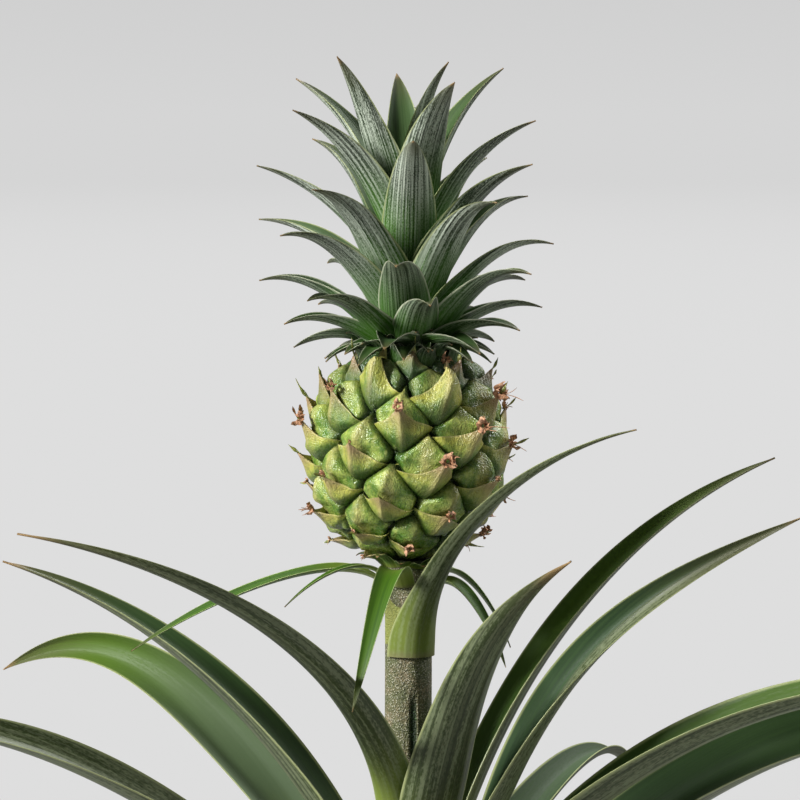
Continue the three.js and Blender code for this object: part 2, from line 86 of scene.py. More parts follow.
# Fruit
FRUIT_BASE = STALK_TOP + GAP
FRUIT_MIDDLE = 314.5
FRUIT_R = 31
FRUIT_FALL = 36
FRUIT_RISE = 41
FRUIT_TOP = 346.5
EYE_DIVERGENCE = 99.5
EYE_0_BEARING = -3
EYE_0_HEIGHT = 329
EYE_STEP = 1.42
EYE_STEP_TOP = 1.05
FIRST_EYE = -13
LAST_EYE = 32
UNOPENED_EYES = 8
EYES = range(FIRST_EYE - UNOPENED_EYES, LAST_EYE + 1)
SKIN_TOP = 352
EYE_HALF_WIDTH = 11.2
EYE_HALF_HEIGHT = 12.2
EYE_SKEW_DOWN = 2.6
EYE_SKEW_LEFT = 2.4
EYE_DEEP = 4
EYE_POWER = 1.3  # 1 would give a straight-sided diamond, 2 an oval
EYE_GROOVE = 0.46  # the share of an eye that slopes down to its groove
EYE_ROLL = 12  # how far at most an eye is turned on the skin, either way
EYE_SEED = 1.7  # times the eye's number, for its own pattern of colour
EYE_REACH = 14  # how far under its plane an eye still claims the skin
FAR = 9.0  # stands for out of an eye's reach
SHOULDER_BRACT = dict(
    sheath=5, curl=60, sheath_curl=40, sheath_share=0.3, thick=0.9, fullness=1.5, shoulder=0.8, grid=(12, 9),
)
FOOT_BRACT = dict(
    half=3.7, sheath=3.2, curl=30, sheath_curl=24, sheath_share=0.3, thick=0.6, fullness=1.7,
    shoulder=0.7, grid=(12, 9),
)
SKIN, BRACT, HUSK, UNOPENED, LEAFY = range(5)  # the fruit's materials in their order
SKIN_ROWS = 126
SKIN_COLUMNS = 300
EYE_SIZES = [0.74, 0.95, 1, 1, 0.98, 0.94, 0.7]
EYE_SHIFTS = {-11: -6, -4: -8, 3: -6, 7: -4}
BEAKS = [2.5, 3, 3.5, 2.5, 2, 1.5, 1.5]
TALL_BEAKS = {-11: 14, -7: 13}
BEAK_LEANS = {
    -11: -0.5, -7: 0.54, -4: -0.3, -3: 0.2, 0: -0.12, 3: -0.1, 4: 0.34, 7: -0.1, 11: 0.5, 15: 0.2, 18: -0.2,
}
LOW_EYES = {1: 0.4, 5: 0.5, 8: 0.6, 12: 0.45, 19: 0.55, 26: 0.7, 30: 0.5}  # the right side bulges less

# By eye: how large its dried floret is, how many threads it has, how long its bract's green point is
HUSKS = {
    -11: 0.55, -7: 0.8, -4: 0.9, -3: 1.4, -1: 0.1, 0: 1, 1: 0.7, 3: 1.25, 4: 1.25, 7: 0.3, 8: 1.1,
    10: 0.1, 11: 1.2, 14: 0.6, 18: 0.1, 21: 0.9, 22: 0.8, 25: 0.3, 28: 0.3, 29: 0.75, 32: 0.3,
}
THREADS = {-4: 3, 0: 0, 4: 2, 7: 0, 11: 0, 18: 0, 21: 4, 22: 0, 25: 0, 29: 0}
AWNS = {-11: 1, -7: 1, -1: 7, 0: 0, 4: 0, 7: 1, 8: 7, 10: 5, 11: 0, 18: 4, 22: 0, 29: 0, 30: 7}

# Crown
CROWN_BASE = FRUIT_TOP + GAP
CROWN_TIP = 409
CROWN_CORE_R = 12
CROWN_CORE_TIP_R = 4
CROWN_0_BEARING = 2
CROWN_LEAVES = range(-44, 11)
CROWN_ROOT_DEPTH = 2
OLD_CROWN_LEAVES = -11  # the leaves under this one are darker
CROWN_FOOT_R = [(-44, 12), (-26, 11.2), (-13, 9.4), (0, 7), (11, 4)]
CROWN_FOOT_Z = [(-44, 350), (-16, 350), (-11, 358), (-5, 366), (0, 377), (11, 398)]
CROWN_TIP_R = [
    (-44, 30), (-34, 28), (-28, 40), (-19, 46), (-15, 51), (-3, 51), (2, 44), (6, 39), (8, 31), (11, 8),
]
CROWN_TIP_Z = [
    (-44, 344), (-34, 348.5), (-28, 351), (-24, 358), (-15, 374), (-11, 387), (-3, 412), (2, 428.5),
    (8, 450), (11, 434),
]
CROWN_FOOT_LEAN = [(-44, 62), (-28, 53), (-16, 46), (-5, 35), (1, 27), (11, 5)]
CROWN_TIP_LEAN = [(-44, 136), (-28, 116), (-19, 104), (-11, 100), (-3, 74), (3, 66), (6, 59), (11, 30)]
CROWN_HALF_WIDTH = [(-44, 4), (-34, 6), (-26, 9.4), (-13, 11.2), (0, 11.9), (8, 12), (9, 10.5), (11, 8)]
CROWN_SHEATH = 0.6
CROWN_LEAF = dict(
    curl=46, sheath_curl=46, sheath_share=0.14, thick=1.3, fullness=1.7, shoulder=0.85, grid=(30, 13),
)
CROWN_TURNS = {
    -32: -4, -29: 10, -28: 6, -26: 10, -16: 14, -13: 6, -10: 6, -8: 15, -7: 2, -5: -8, 1: 12, 2: -8,
    3: -5, 5: -12, 6: -11, 7: -5, 8: -30, 9: -15, 10: -6,
}
CROWN_RISES = {
    -44: 3, -42: 6, -41: 3, -38: 6, -26: -2, -21: 4, -19: -2, -16: 5, -14: -4, -12: -5, -8: 5, -7: -5,
    -3: 2, -2: -2, -1: -3, 1: -3, 5: 2, 10: 9,
}
CROWN_REACHES = {
    -42: -6, -38: -4, -32: -2, -31: -8, -27: -8, -26: -6, -20: -6, -18: 2, -12: 2, -8: -2, -7: 5,
    -6: -8, -2: 2, -1: -6, 0: 2, 1: -6, 3: 4, 6: 3, 7: 1, 8: 1,
}
CROWN_LEANS = {8: (33, 35)}

# Rosette and stalk leaves

# Sheath is half the width at the foot, curl how far the section bends from midrib to margin, and
# grid the number of steps along and of points across
ROSETTE = dict(
    half=12, sheath=9.5, curl=55, sheath_share=0.14, thick=1.9, fullness=1.8, shoulder=0.9, grid=(60, 19),
)
LEAF_ROOM = 0.3

# Tip is its radius and height, leans are the slopes off upright at foot and tip, reach is how far the
# curve holds each of them, swerve turns the bearing and twist the leaf on its way
LEAF_COLUMNS = ("bearing", "z", "tip", "leans", "reach", "swerve", "twist", "half", "curl")
UPPER_LEAVES = [
    (-17, 188, (163, 297), (6, 77), (0.15, 0.25), -33, 15, 9, 55),
    (26, 170, (97, 286), (25, 62), (0.3, 0.45), 7, -15, 15, 48),
    (103, 159, (129, 312), (13, 68), (0.32, 0.37), -3, 35, 11.5, 55),
    (-95, 154, (140, 277), (24, 73), (0.3, 0.4), 0, -25, 15, 55),
    (60, 147, (141, 298), (34, 66), (0.35, 0.55), 8, 90, 15, 55),
    (-120, 141, (168, 231), (41, 120), (0.45, 0.4), 0, -105, 16, 55),
    (142, 136, (161, 180), (50, 138), (0.4, 0.4), 6, 0, 13, 55),
    (-66, 131, (208, 226), (45, 108), (0.35, 0.3), -6, -45, 15, 55),
    (73, 127, (228, 229), (27, 121), (0.46, 0.26), -2, 15, 18, 60),
    (91, 122, (221, 211), (44, 115), (0.5, 0.33), 0, 70, 20, 60),
]
LOWER_LEAVES = 11
LOWER_0_BEARING = -16
LOWER_FOOT_TOP = 118
LOWER_FOOT_STEP = 1.6
LOWER_TIP_R = [178, 158]
LOWER_TIP_Z = [172, 122]
LOWER_FOOT_LEAN = [44, 64]
LOWER_TIP_LEAN = 122
LOWER_HALF_WIDTH = [12, 10.5]
LOWER_VARY = 8
STALK_LEAF = dict(
    half=4.2, sheath=4.6, curl=40, sheath_share=0.12, thick=1.1, fullness=1.6, shoulder=0.9, grid=(40, 11),
)
CLASPING_LEAF = dict(
    bearing=28, z=246, tip=(124, 330), leans=(0, 77), reach=(0.25, 0.3), swerve=8,
    twist=20, half=7.2, sheath=12.5, sheath_share=0.16, thick=1.4, curl=50, grid=(60, 15),
)
STALK_LEAVES = [
    dict(bearing=-81, z=271, tip=(95, 249), leans=(51, 124), reach=(0.25, 0.3), twist=-25, half=5),
    dict(
        bearing=-12, z=270, tip=(63, 234), leans=(41, 165), reach=(0.45, 0.35),
        swerve=-5, half=5.5, sheath=4.4,
    ),
    dict(bearing=72, z=269, tip=(35, 243), leans=(40, 160), twist=40),
    dict(bearing=122, z=271, tip=(42, 246), leans=(40, 158), twist=25),
    dict(bearing=172, z=270, tip=(38, 248), leans=(40, 150)),
    dict(bearing=-60, z=273.4, tip=(48, 265), leans=(51, 130), half=2.6, sheath=2),
]

# How fresh each rosette leaf's foot is, how much of its tip is dry, how much painted light glows through its
# upper face
USUAL_TONE = (0.6, 0.06, 0.1)
TONES = {
    1: (1, 0.08, 0), 2: (0.4, 0.12, 0), 3: (0.6, 0.03, 0.8), 5: (0.6, 0.03, 0), 6: (0.5, 0.05, 1),
    7: (0.5, 0.05, -0.4), 9: (0.5, 0.05, 0.8),
}
DULL_SIDES = {3: dict(dull_from=0.3, backed=1), 5: dict(dull_from=-0.1), 8: dict(dull_from=-2)}

FINE_STEPS = 240  # across a leaf's section while its folds are worked out
STEM_COLUMNS = 72
SOIL_COLUMNS = 120
POT_COLUMNS = 128
FLOOR_COLUMNS = 96

UP = np.array([0.0, 0.0, 1.0])


def draw(number, kind):
    """A repeatable draw from -1 to 1, the same as the CAD's."""
    wave = math.sin(number * 12.9898 + kind * 78.233) * 43758.5453
    return 2 * (wave - math.floor(wave)) - 1


def spread(values, t):
    return float(np.interp(t, np.linspace(0, 1, len(values)), values))


def between(pairs, n):
    return float(np.interp(n, [p[0] for p in pairs], [p[1] for p in pairs]))


def smooth(x, low, high):
    t = np.clip((x - low) / (high - low), 0, 1)
    return t * t * (3 - 2 * t)


def outward(bearing):
    a = np.radians(np.asarray(bearing, float))
    return np.stack([np.sin(a), -np.cos(a), np.zeros_like(a)], -1)


def turns(columns):
    """Bearings all round, one for each column of points."""
    return np.arange(columns) * 360 / columns


def unit(v):
    return v / np.linalg.norm(v, axis=-1, keepdims=True)


def triple(*parts):
    """Three numbers for each point, from arrays that broadcast together."""
    return np.stack(np.broadcast_arrays(*parts), -1)


def grey(level):
    return (level, level, level)


def linked(name, data):
    made = bpy.data.objects.new(name, data)
    bpy.context.scene.collection.objects.link(made)
    return made


class Shape:
    """Points, faces and per-point attributes of a mesh in the making."""

    def __init__(self):
        self.points, self.faces, self.slots, self.marks, self.count = [], [], [], {}, 0

    def add(self, points, faces, slot=0, **marks):
        points = np.asarray(points, float).reshape(-1, 3)
        self.faces += [tuple(i + self.count for i in f) for f in faces]
        self.slots += [slot] * len(faces)
        self.points.append(points)
        for name in {**self.marks, **marks}:
            rows = self.marks.setdefault(name, [np.zeros((self.count, 3))] if self.count else [])
            value = np.asarray(marks.get(name, (0, 0, 0)), float)
            rows.append(np.broadcast_to(value.reshape(-1, 3), (len(points), 3)))
        self.count += len(points)

    def face(self, points, slot):
        self.faces.append(points)
        self.slots.append(slot)

    def grid(self, points, closed=False, slot=0, flip=False, **marks):
        """points has the shape (rows, columns, 3)."""
        rows, columns = points.shape[:2]
        faces = []
        for first in range(0, (rows - 1) * columns, columns):
            for i in range(columns if closed else columns - 1):
                here, after = first + i, first + (i + 1) % columns
                quad = (here, after, after + columns, here + columns)
                faces.append(quad[::-1] if flip else quad)
        self.add(points, faces, slot, **marks)

    def build(self, name, materials, sharp=40):
        mesh = bpy.data.meshes.new(name)
        mesh.from_pydata((np.concatenate(self.points) / 1000).tolist(), [], self.faces)
        for mark, rows in self.marks.items():
            layer = mesh.attributes.new(mark, "FLOAT_VECTOR", "POINT")
            layer.data.foreach_set("vector", np.concatenate(rows).ravel())
        for material in materials:
            mesh.materials.append(material)
        mesh.polygons.foreach_set("material_index", self.slots)
        mesh.polygons.foreach_set("use_smooth", [True] * len(mesh.polygons))
        mesh.set_sharp_from_angle(angle=math.radians(sharp))
        mesh.validate()
        return linked(name, mesh)

    def made(self, name, materials, slot, *nodes, sharp=40):
        piece = self.build(name, materials, sharp)
        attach(piece, "root")
        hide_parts(*nodes)


# Materials


class Nodes:
    """The node tree of a new material or world, with short calls for its nodes."""

    def __init__(self, name, kind="materials"):
        self.owner = getattr(bpy.data, kind).new(name)
        self.owner.use_nodes = True
        self.tree = self.owner.node_tree
        self.shader = self.tree.nodes.get("Principled BSDF")

    def node(self, kind, values=(), **settings):
        made = self.tree.nodes.new("ShaderNode" + kind)
        for key, value in settings.items():
            setattr(made, key, value)
        for key, value in dict(values).items():
            self.put(made.inputs[key], value)
        return made

    def put(self, socket, value):
        if isinstance(value, bpy.types.NodeSocket):
            self.tree.links.new(value, socket)
        elif socket.type == "RGBA":
            socket.default_value = (*value, 1)
        else:
            socket.default_value = value

    def mark(self, name):
        """The three numbers of a per-point attribute."""
        return self.split(self.node("Attribute", attribute_name=name).outputs["Vector"])

    def place(self):
        return self.node("TexCoord").outputs["Object"]

    def math(self, operation, a, b=0):
        return self.node("Math", {0: a, 1: b}, operation=operation).outputs[0]

    def plus(self, a, b):
        return self.math("ADD", a, b)

    def times(self, a, b):
        return self.math("MULTIPLY", a, b)

    def vector(self, x, y, z=0):
        return self.node("CombineXYZ", {0: x, 1: y, 2: z}).outputs[0]

    def noise(self, place, scale, detail=2, roughness=0.5):
        values = {"Vector": place, "Scale": scale, "Detail": detail, "Roughness": roughness}
        return self.node("TexNoise", values).outputs["Fac"]

    def cells(self, place, scale):
        return self.node("TexVoronoi", {"Vector": place, "Scale": scale}).outputs["Distance"]

    def stretched(self, place, scale):
        """Noise with a scale of its own along each axis."""
        return self.noise(self.node("Mapping", {"Vector": place, "Scale": scale}).outputs[0], 1, 3, 0.6)

    def ramp(self, value, low, high, start=0, end=1):
        values = {"Value": value, "From Min": low, "From Max": high, "To Min": start, "To Max": end}
        return self.node("MapRange", values, interpolation_type="SMOOTHSTEP").outputs["Result"]

    def mix(self, share, a, b):
        return self.node("Mix", {0: share, 6: a, 7: b}, data_type="RGBA").outputs[2]

    def coats(self, colour, *others):
        """A colour under others, each of them with its share and as a colour code."""
        for share, code in others:
            colour = self.mix(share, colour, rgb(code))
        return colour

    def split(self, vector):
        return self.node("SeparateXYZ", {0: vector}).outputs

    def bump(self, height, distance, strength):
        values = {"Height": height, "Distance": distance, "Strength": strength}
        return self.node("Bump", values).outputs["Normal"]

    def finish(self, colour, roughness, normal=None, shine=0.5):
        values = {"Base Color": colour, "Roughness": roughness, "Specular IOR Level": shine}
        if normal is not None:
            values["Normal"] = normal
        for key, value in values.items():
            self.put(self.shader.inputs[key], value)
        return self.owner


def rgb(code):
    """A colour as Blender wants it, from a web colour code."""
    parts = [int(code[i : i + 2], 16) / 255 for i in (0, 2, 4)]
    return tuple(p / 12.92 if p <= 0.04045 else ((p + 0.055) / 1.055) ** 2.4 for p in parts)


def leaf_material(name, outer, inner, fresh, margin, scurf, green_to, fineness):
    """Reads three marks of a blade.

    leaf: across from -1 to 1, along from foot to tip, 1 on the glossy face and 0 on the scurfy one.
    grain: mm across, mm along, the leaf's number.
    tone: how fresh its foot is, how much of its tip is dry, how much painted light glows through its
    glossy face towards the tip. Below 0 the whole leaf is darker, and near 1 the face is dull towards its
    foot.
    """
    n = Nodes(name)
    q, s, face = n.mark("leaf")
    u, v, number = n.mark("grain")
    green, dry, bright = n.mark("tone")
    outer_dark, outer_pale = (rgb(code) for code in outer)
    inner_dark, inner_light = (rgb(code) for code in inner)
    shade = n.mix(0.5, outer_dark, grey(0))

    def streaks(across, along, detail=2):
        x, y = n.times(u, across * fineness), n.times(v, along * fineness)
        return n.noise(n.vector(x, y, number), 1, detail, 0.6)

    lines, fine = streaks(1.6, 0.01), streaks(3.2, 0.09)
    flecks, broad = streaks(3.6, 1.1, 1), streaks(0.12, 0.03)
    frost = n.plus(n.plus(lines, n.times(flecks, 0.7)), n.times(n.plus(fine, broad), 0.4))
    frost = n.ramp(frost, 1.05, 1.42, 0, scurf)
    veins = n.ramp(streaks(1.1, 0.004, 1), 0.36, 0.46, 0.6, 0)
    outside = n.mix(veins, n.mix(frost, outer_dark, outer_pale), shade)

    inside = n.mix(n.times(n.ramp(lines, 0.36, 0.66), 0.5), inner_dark, inner_light)
    inside = n.mix(n.ramp(broad, 0.35, 0.7, 0, 0.5), inside, inner_light)
    # Painted light: the glossy face turns a brighter green towards its tip, a painted glow of light through
    # the leaf
    painted_glow = n.times(bright, n.ramp(s, 0.15, 0.6, 0.25, 1))
    dull = n.times(n.ramp(bright, 0.85, 1), n.ramp(s, 0.8, 0.4, 0, 0.75))
    inside = n.coats(inside, (painted_glow, "46620f"), (dull, "526148"))
    colour = n.mix(n.ramp(bright, 0, -1), n.mix(face, outside, inside), shade)

    root = n.ramp(n.plus(s, n.times(n.plus(lines, broad), 0.12)), green_to, green_to * 0.3)
    frosted = n.mix(n.times(frost, 0.35), rgb(fresh), outer_pale)
    colour = n.mix(n.times(root, green), colour, frosted)
    foot = n.ramp(n.plus(s, n.times(fine, 0.03)), 0.045, 0.012, 0, 0.85)
    edge = n.times(n.ramp(n.math("ABSOLUTE", q), 0.9, 0.985), 0.7)
    old = n.ramp(n.plus(s, n.times(lines, 0.2)), 0.8, 1.15, 0, 0.85)
    colour = n.coats(colour, (foot, "7d7a52"), (edge, margin), (old, "474426"))
    tip = n.ramp(n.plus(s, n.times(fine, 0.05)), n.math("SUBTRACT", 1.03, dry), 1.03)
    tan = n.mix(lines, rgb("5a4028"), rgb("a88a5c"))
    colour = n.mix(n.times(tip, n.ramp(dry, 0, 0.02)), colour, tan)

    rough = n.plus(n.ramp(frost, 0, 1, 0.42, 0.66), n.times(face, 0.12))
    rough = n.ramp(bright, 0, -1, rough, 0.95)
    height = n.times(streaks(1.5, 0.01, 0.5), n.ramp(s, 0.6, 0.9, 1, 0.1))
    height = n.times(height, n.ramp(face, 0, 1, 1, 0.2))
    return n.finish(colour, rough, n.bump(height, 0.0006 * fineness, 0.55), shine=0.3)


def skin_material():
    """Reads two marks of the skin.

    eye: along both axes of its diamond, then from 0 in the groove to 1.
    own: the eye's number, its youth.
    """
    n = Nodes("fruit_skin")
    alpha, beta, inside = n.mark("eye")
    number, youth, _ = n.mark("own")
    place = n.place()
    bumps = n.noise(place, 900, 4, 0.65)
    pores = n.cells(place, 1700)
    patch = n.noise(place, 130, 3, 0.6)
    streak = n.noise(n.vector(n.times(alpha, 7), n.times(beta, 1.2), number), 1, 3, 0.6)
    each = n.noise(n.vector(number, 0.5), 1.7, 1)
    mottle = n.noise(place, 420, 3, 0.7)
    ridge = n.ramp(n.math("ABSOLUTE", n.plus(alpha, n.times(patch, 0.1))), 0.34, 0)
    green = n.coats(
        rgb("4d7524"),
        (n.ramp(patch, 0.35, 0.68), "a4b654"),
        (n.ramp(streak, 0.45, 0.8, 0, 0.6), "bcc062"),
        (n.times(ridge, n.ramp(each, 0.3, 0.7, 0.25, 0.75)), "b9ad6c"),
        (n.ramp(mottle, 0.42, 0.62, 0, 0.4), "3c6618"),
        (n.ramp(mottle, 0.46, 0.3, 0, 0.3), "d2d684"),
        # Painted shade: the skin turns dark green down into the grooves between the eyes
        (n.ramp(inside, 0.85, 0, 0, 0.97), "17300c"),
        (n.times(youth, n.ramp(patch, 0.3, 0.6, 0.35, 0.9)), "30482a"),
        (n.ramp(pores, 0.3, 0.12, 0, 0.2), "b8bf8c"),
    )
    rough = n.ramp(bumps, 0.3, 0.7, 0.17, 0.34)
    height = n.plus(bumps, n.times(pores, -0.45))
    return n.finish(green, rough, n.bump(height, 0.001, 0.5), shine=0.6)


def bract_material():
    """Reads two marks of a bract.

    bract: across from -1 to 1, from foot to lip.
    own: the eye's number, its youth, 1 on its beak.
    """
    n = Nodes("bract_skin")
    p, t, _ = n.mark("bract")
    number, youth, beak = n.mark("own")
    place = n.place()
    bumps = n.noise(place, 1000, 4, 0.65)
    pores = n.cells(place, 1800)
    patch = n.noise(place, 120, 3, 0.6)
    ribs = n.noise(n.vector(n.times(p, 14), n.times(t, 1.3), number), 1, 3, 0.6)
    each = n.noise(n.vector(number, 3.5), 1.7, 1)
    mottle = n.noise(place, 380, 3, 0.7)
    keel = n.ramp(n.math("ABSOLUTE", n.plus(p, n.times(patch, 0.06))), 0.2, 0)
    green = n.coats(
        rgb("527824"),
        (n.ramp(patch, 0.32, 0.7), "9ca648"),
        (n.times(n.ramp(each, 0.35, 0.65, 0.15, 0.85), n.ramp(t, 0.25, 0.85)), "c2be4e"),
        (n.ramp(ribs, 0.45, 0.75, 0, 0.5), "b5b45f"),
        (n.ramp(mottle, 0.44, 0.64, 0, 0.5), "3d611c"),
        (n.times(keel, n.ramp(t, 0, 0.35, 0.2, 0.6)), "c0b274"),
        # Painted shade: the bract turns dark green towards its foot, down in the groove
        (n.ramp(t, 0.6, 0, 0, 0.92), "25470f"),
        (n.ramp(t, 0.9, 0.99, 0, 0.65), "c8c07c"),
        (n.times(youth, 0.75), "33502a"),
    )
    flush = n.times(beak, n.ramp(patch, 0.25, 0.6, 0.45, 0.95))
    green = n.mix(flush, green, n.mix(n.ramp(ribs, 0.3, 0.7), rgb("b08f70"), rgb("85694c")))
    green = n.coats(green, (n.ramp(pores, 0.3, 0.12, 0, 0.2), "c0c492"))
    rough = n.ramp(bumps, 0.3, 0.7, 0.26, 0.44)
    height = n.plus(n.plus(bumps, n.times(pores, -0.4)), ribs)
    return n.finish(green, rough, n.bump(height, 0.001, 0.5), shine=0.6)


def husk_material():
    n = Nodes("dried_floret")
    grain = n.noise(n.place(), 1400, 3, 0.7)
    broad = n.noise(n.place(), 260, 2)
    light = n.ramp(broad, 0.45, 0.7, 0, 0.5)
    colour = n.coats(rgb("5f3822"), (n.ramp(grain, 0.3, 0.6), "bd8c66"), (light, "dcb292"))
    return n.finish(colour, n.ramp(grain, 0.3, 0.7, 0.6, 0.85), n.bump(grain, 0.0004, 0.6))


def bark_material():
    """Reads the mark stem: 1 on the fresh band, height in mm, 1 in the green groove."""
    n = Nodes("scurfy_bark")
    band, z, groove = n.mark("stem")
    place = n.place()
    fine = n.noise(place, 1500, 3, 0.7)
    specks = n.cells(place, 1550)
    patch = n.noise(place, 120, 3, 0.6)
    colour = n.coats(
        rgb("62653f"),
        (n.ramp(patch, 0.35, 0.65), "86785a"),
        (n.ramp(fine, 0.42, 0.62, 0, 0.75), "3c4526"),
        (n.ramp(specks, 0.38, 0.18, 0, 0.85), "c2beaa"),
    )
    fresh = n.ramp(n.plus(band, n.times(n.math("SUBTRACT", patch, 0.5), 1.2)), 0.35, 0.6)
    green = n.mix(n.ramp(fine, 0.35, 0.7, 0, 0.7), rgb("a0a352"), rgb("76863a"))
    colour = n.mix(n.times(fresh, 0.9), colour, green)
    # Painted shade: the top of the stalk turns dark green just under the fruit
    colour = n.coats(colour, (n.ramp(z, 274, 279, 0, 0.7), "233512"))
    colour = n.mix(groove, colour, n.mix(n.ramp(fine, 0.55, 0.7), rgb("15280d"), rgb("41652b")))
    height = n.plus(n.times(fine, 0.8), n.math("SUBTRACT", 1, specks))
    return n.finish(colour, 0.62, n.bump(height, 0.0006, 0.7))


def clay_material():
    n = Nodes("terracotta")
    place = n.place()
    rings = n.stretched(place, (6, 6, 420))
    patch = n.noise(place, 26, 4, 0.6)
    grit = n.noise(place, 900, 3, 0.7)
    bloom = n.noise(place, 48, 4, 0.7)
    low = n.ramp(n.split(place)[2], 0.05, 0, 0, 0.55)
    colour = n.coats(
        rgb("a75d3f"),
        (n.ramp(patch, 0.3, 0.7), "bd7350"),
        (n.ramp(rings, 0.4, 0.7, 0, 0.35), "c58563"),
        (n.ramp(grit, 0.6, 0.75, 0, 0.5), "7d4029"),
        (n.times(n.ramp(bloom, 0.42, 0.7), n.plus(low, 0.22)), "d8b9a2"),
    )
    rough = n.ramp(grit, 0.3, 0.7, 0.78, 0.92)
    bumps = n.plus(n.times(rings, 0.7), n.times(grit, 0.5))
    return n.finish(colour, rough, n.bump(bumps, 0.0006, 0.45))


def peat_material():
    n = Nodes("potting_soil")
    place = n.place()
    lumps = n.noise(place, 260, 4, 0.7)
    grit = n.cells(place, 420)
    light = n.ramp(grit, 0.22, 0.1, 0, 0.6)
    colour = n.coats(rgb("22170f"), (n.ramp(lumps, 0.35, 0.68), "4c3524"), (light, "6b4f38"))
    return n.finish(colour, n.ramp(lumps, 0.3, 0.7, 0.85, 0.97), n.bump(lumps, 0.002, 0.8))


def chip_material():
    n = Nodes("bark_chips")
    place = n.place()
    rings = n.stretched(place, (300, 300, 1400))
    colour = n.mix(n.ramp(rings, 0.35, 0.65), rgb("3d281a"), rgb("7a5638"))
    return n.finish(colour, n.ramp(rings, 0.3, 0.7, 0.75, 0.9), n.bump(rings, 0.0008, 0.7))


# Blades


def blade_shape(shape, blade, number, tone, slot=0, dull_from=2, backed=0):
    """Adds a leaf that follows its CAD blade, with folds along it, thin margins and a fine tip.

    Across the leaf, seen from its foot, -1 is the left margin and 1 the right one. Its upper face is
    glossy from the left margin to dull_from, and its underside there is as glossy as backed says.
    """
    steps, across = blade["grid"]
    bearing, leans = blade["bearing"], blade["leans"]
    reach, swerve, twist = blade.get("reach", (0.36, 0.36)), blade.get("swerve", 0), blade.get("twist", 0)
    foot, tip = np.array(blade["foot"], float), np.array(blade["tip"], float)
    chord = np.linalg.norm(tip - foot)
    lean = [np.array([math.sin(a), math.cos(a)]) for a in np.radians(leans)]
    poles = [foot, foot + lean[0] * reach[0] * chord, tip - lean[1] * reach[1] * chord, tip]

    def at(s):
        b = [(1 - s) ** 3, 3 * s * (1 - s) ** 2, 3 * s * s * (1 - s), s**3]
        rz = sum(w[:, None] * p for w, p in zip(b, poles))
        return outward(bearing + swerve * s * s) * rz[:, :1] + UP * rz[:, 1:]

    s = np.linspace(0, 1, steps + 1)
    s = 1 - (1 - s) ** 1.15
    point = at(s)
    forward = unit(at(np.minimum(s + 0.01, 1)) - at(np.maximum(s - 0.01, 0)))
    flat = outward(bearing + swerve * s * s + 90)
    side = unit(flat - forward * (flat * forward).sum(-1, keepdims=True))
    upper = np.cross(forward, side)
    roll = np.radians(twist) * s[:, None]
    side, upper = side * np.cos(roll) + upper * np.sin(roll), upper * np.cos(roll) - side * np.sin(roll)

    taper = (1 - s ** blade["fullness"]) ** blade["shoulder"]
    clasp = np.exp(-((s / blade["sheath_share"]) ** 2))
    width = np.maximum((blade["half"] + (blade["sheath"] - blade["half"]) * clasp) * taper, 0.12)
    angle = np.radians(blade["curl"] + (blade["sheath_curl"] - blade["curl"]) * clasp)
    thick = np.maximum(blade["thick"] * (1 - 0.6 * s) * (1 - 0.6 * np.exp(-((s / 0.03) ** 2))), 0.3)

    # Across the leaf the gutter bends most along two folds
    q = np.sin(np.linspace(-1, 1, across) * math.pi / 2 * 0.9) / math.sin(math.pi / 2 * 0.9)
    fine = np.linspace(-1, 1, FINE_STEPS + 1)
    folds = [-0.42 + 0.14 * draw(number, 11), 0.36 + 0.14 * draw(number, 12)]
    bend = 0.5 * fine + 0.28 * sum(np.tanh((fine - f) / 0.09) for f in folds)
    bend = bend - np.interp(0, fine, bend)
    bend = bend / np.max(np.abs(bend))
    sheathed = clasp[:, None]
    theta = angle[:, None] * (bend * (1 - sheathed) + fine * sheathed)
    step = fine[1] - fine[0]

    def run(values):
        """How far the section has come from the midrib, from its direction at each fine step."""
        walked = np.cumsum((values[:, 1:] + values[:, :-1]) / 2 * step, 1)
        total = np.concatenate([np.zeros((len(s), 1)), walked], 1)
        total -= total[:, [FINE_STEPS // 2]]
        return np.stack([np.interp(q, fine, row) for row in total])

    x, y = width[:, None] * run(np.cos(theta)), width[:, None] * run(np.sin(theta))
    arc = np.stack([np.interp(q, fine, row) for row in theta])
    wave = np.sin(s * (9 + 3 * draw(number, 13)) + 3 * draw(number, 14)) * smooth(s, 0.15, 0.4)
    y = y + 0.035 * width[:, None] * wave[:, None] * q**3
    edge = thick[:, None] * np.maximum(1 - 0.8 * q**2, 0.16)

    half = point[:, None] + side[:, None] * x[..., None] + upper[:, None] * y[..., None]
    out = side[:, None] * -np.sin(arc)[..., None] + upper[:, None] * np.cos(arc)[..., None]
    top, under = half + out * edge[..., None] / 2, half - out * edge[..., None] / 2
    ring = np.concatenate([top, under[:, ::-1]], 1)
    length = chord * 1.1
    round_ = np.concatenate([q, q[::-1]])
    glossy = smooth(-q, dull_from + 0.12, dull_from)
    face = np.concatenate([glossy, backed * glossy[::-1]])
    leaf = triple(round_, s[:, None], face)
    mm = round_ * (blade["half"] ** 0.25 * width**0.75)[:, None] + 40 * (1 - face)
    grain = triple(mm, (s * length)[:, None], number * 7.3)
    shape.grid(ring, closed=True, slot=slot, flip=True, leaf=leaf, grain=grain, tone=tone)
    rows = len(s)
    base = shape.count - rows * 2 * across
    for j, order in ((0, 1), (rows - 1, -1)):
        for i in range(across - 1):
            a = base + j * 2 * across
            quad = (a + i, a + i + 1, a + 2 * across - 2 - i, a + 2 * across - 1 - i)
            shape.face(quad[::order], slot)


def seated(leaf, kind, stem_r):
    """A leaf of its kind whose sheath lies round the stem."""
    made = {**kind, **leaf}
    foot_r = stem_r + made["thick"] / 2
    return {**made, "foot": (foot_r, leaf["z"]), "sheath_curl": math.degrees(made["sheath"] / foot_r)}


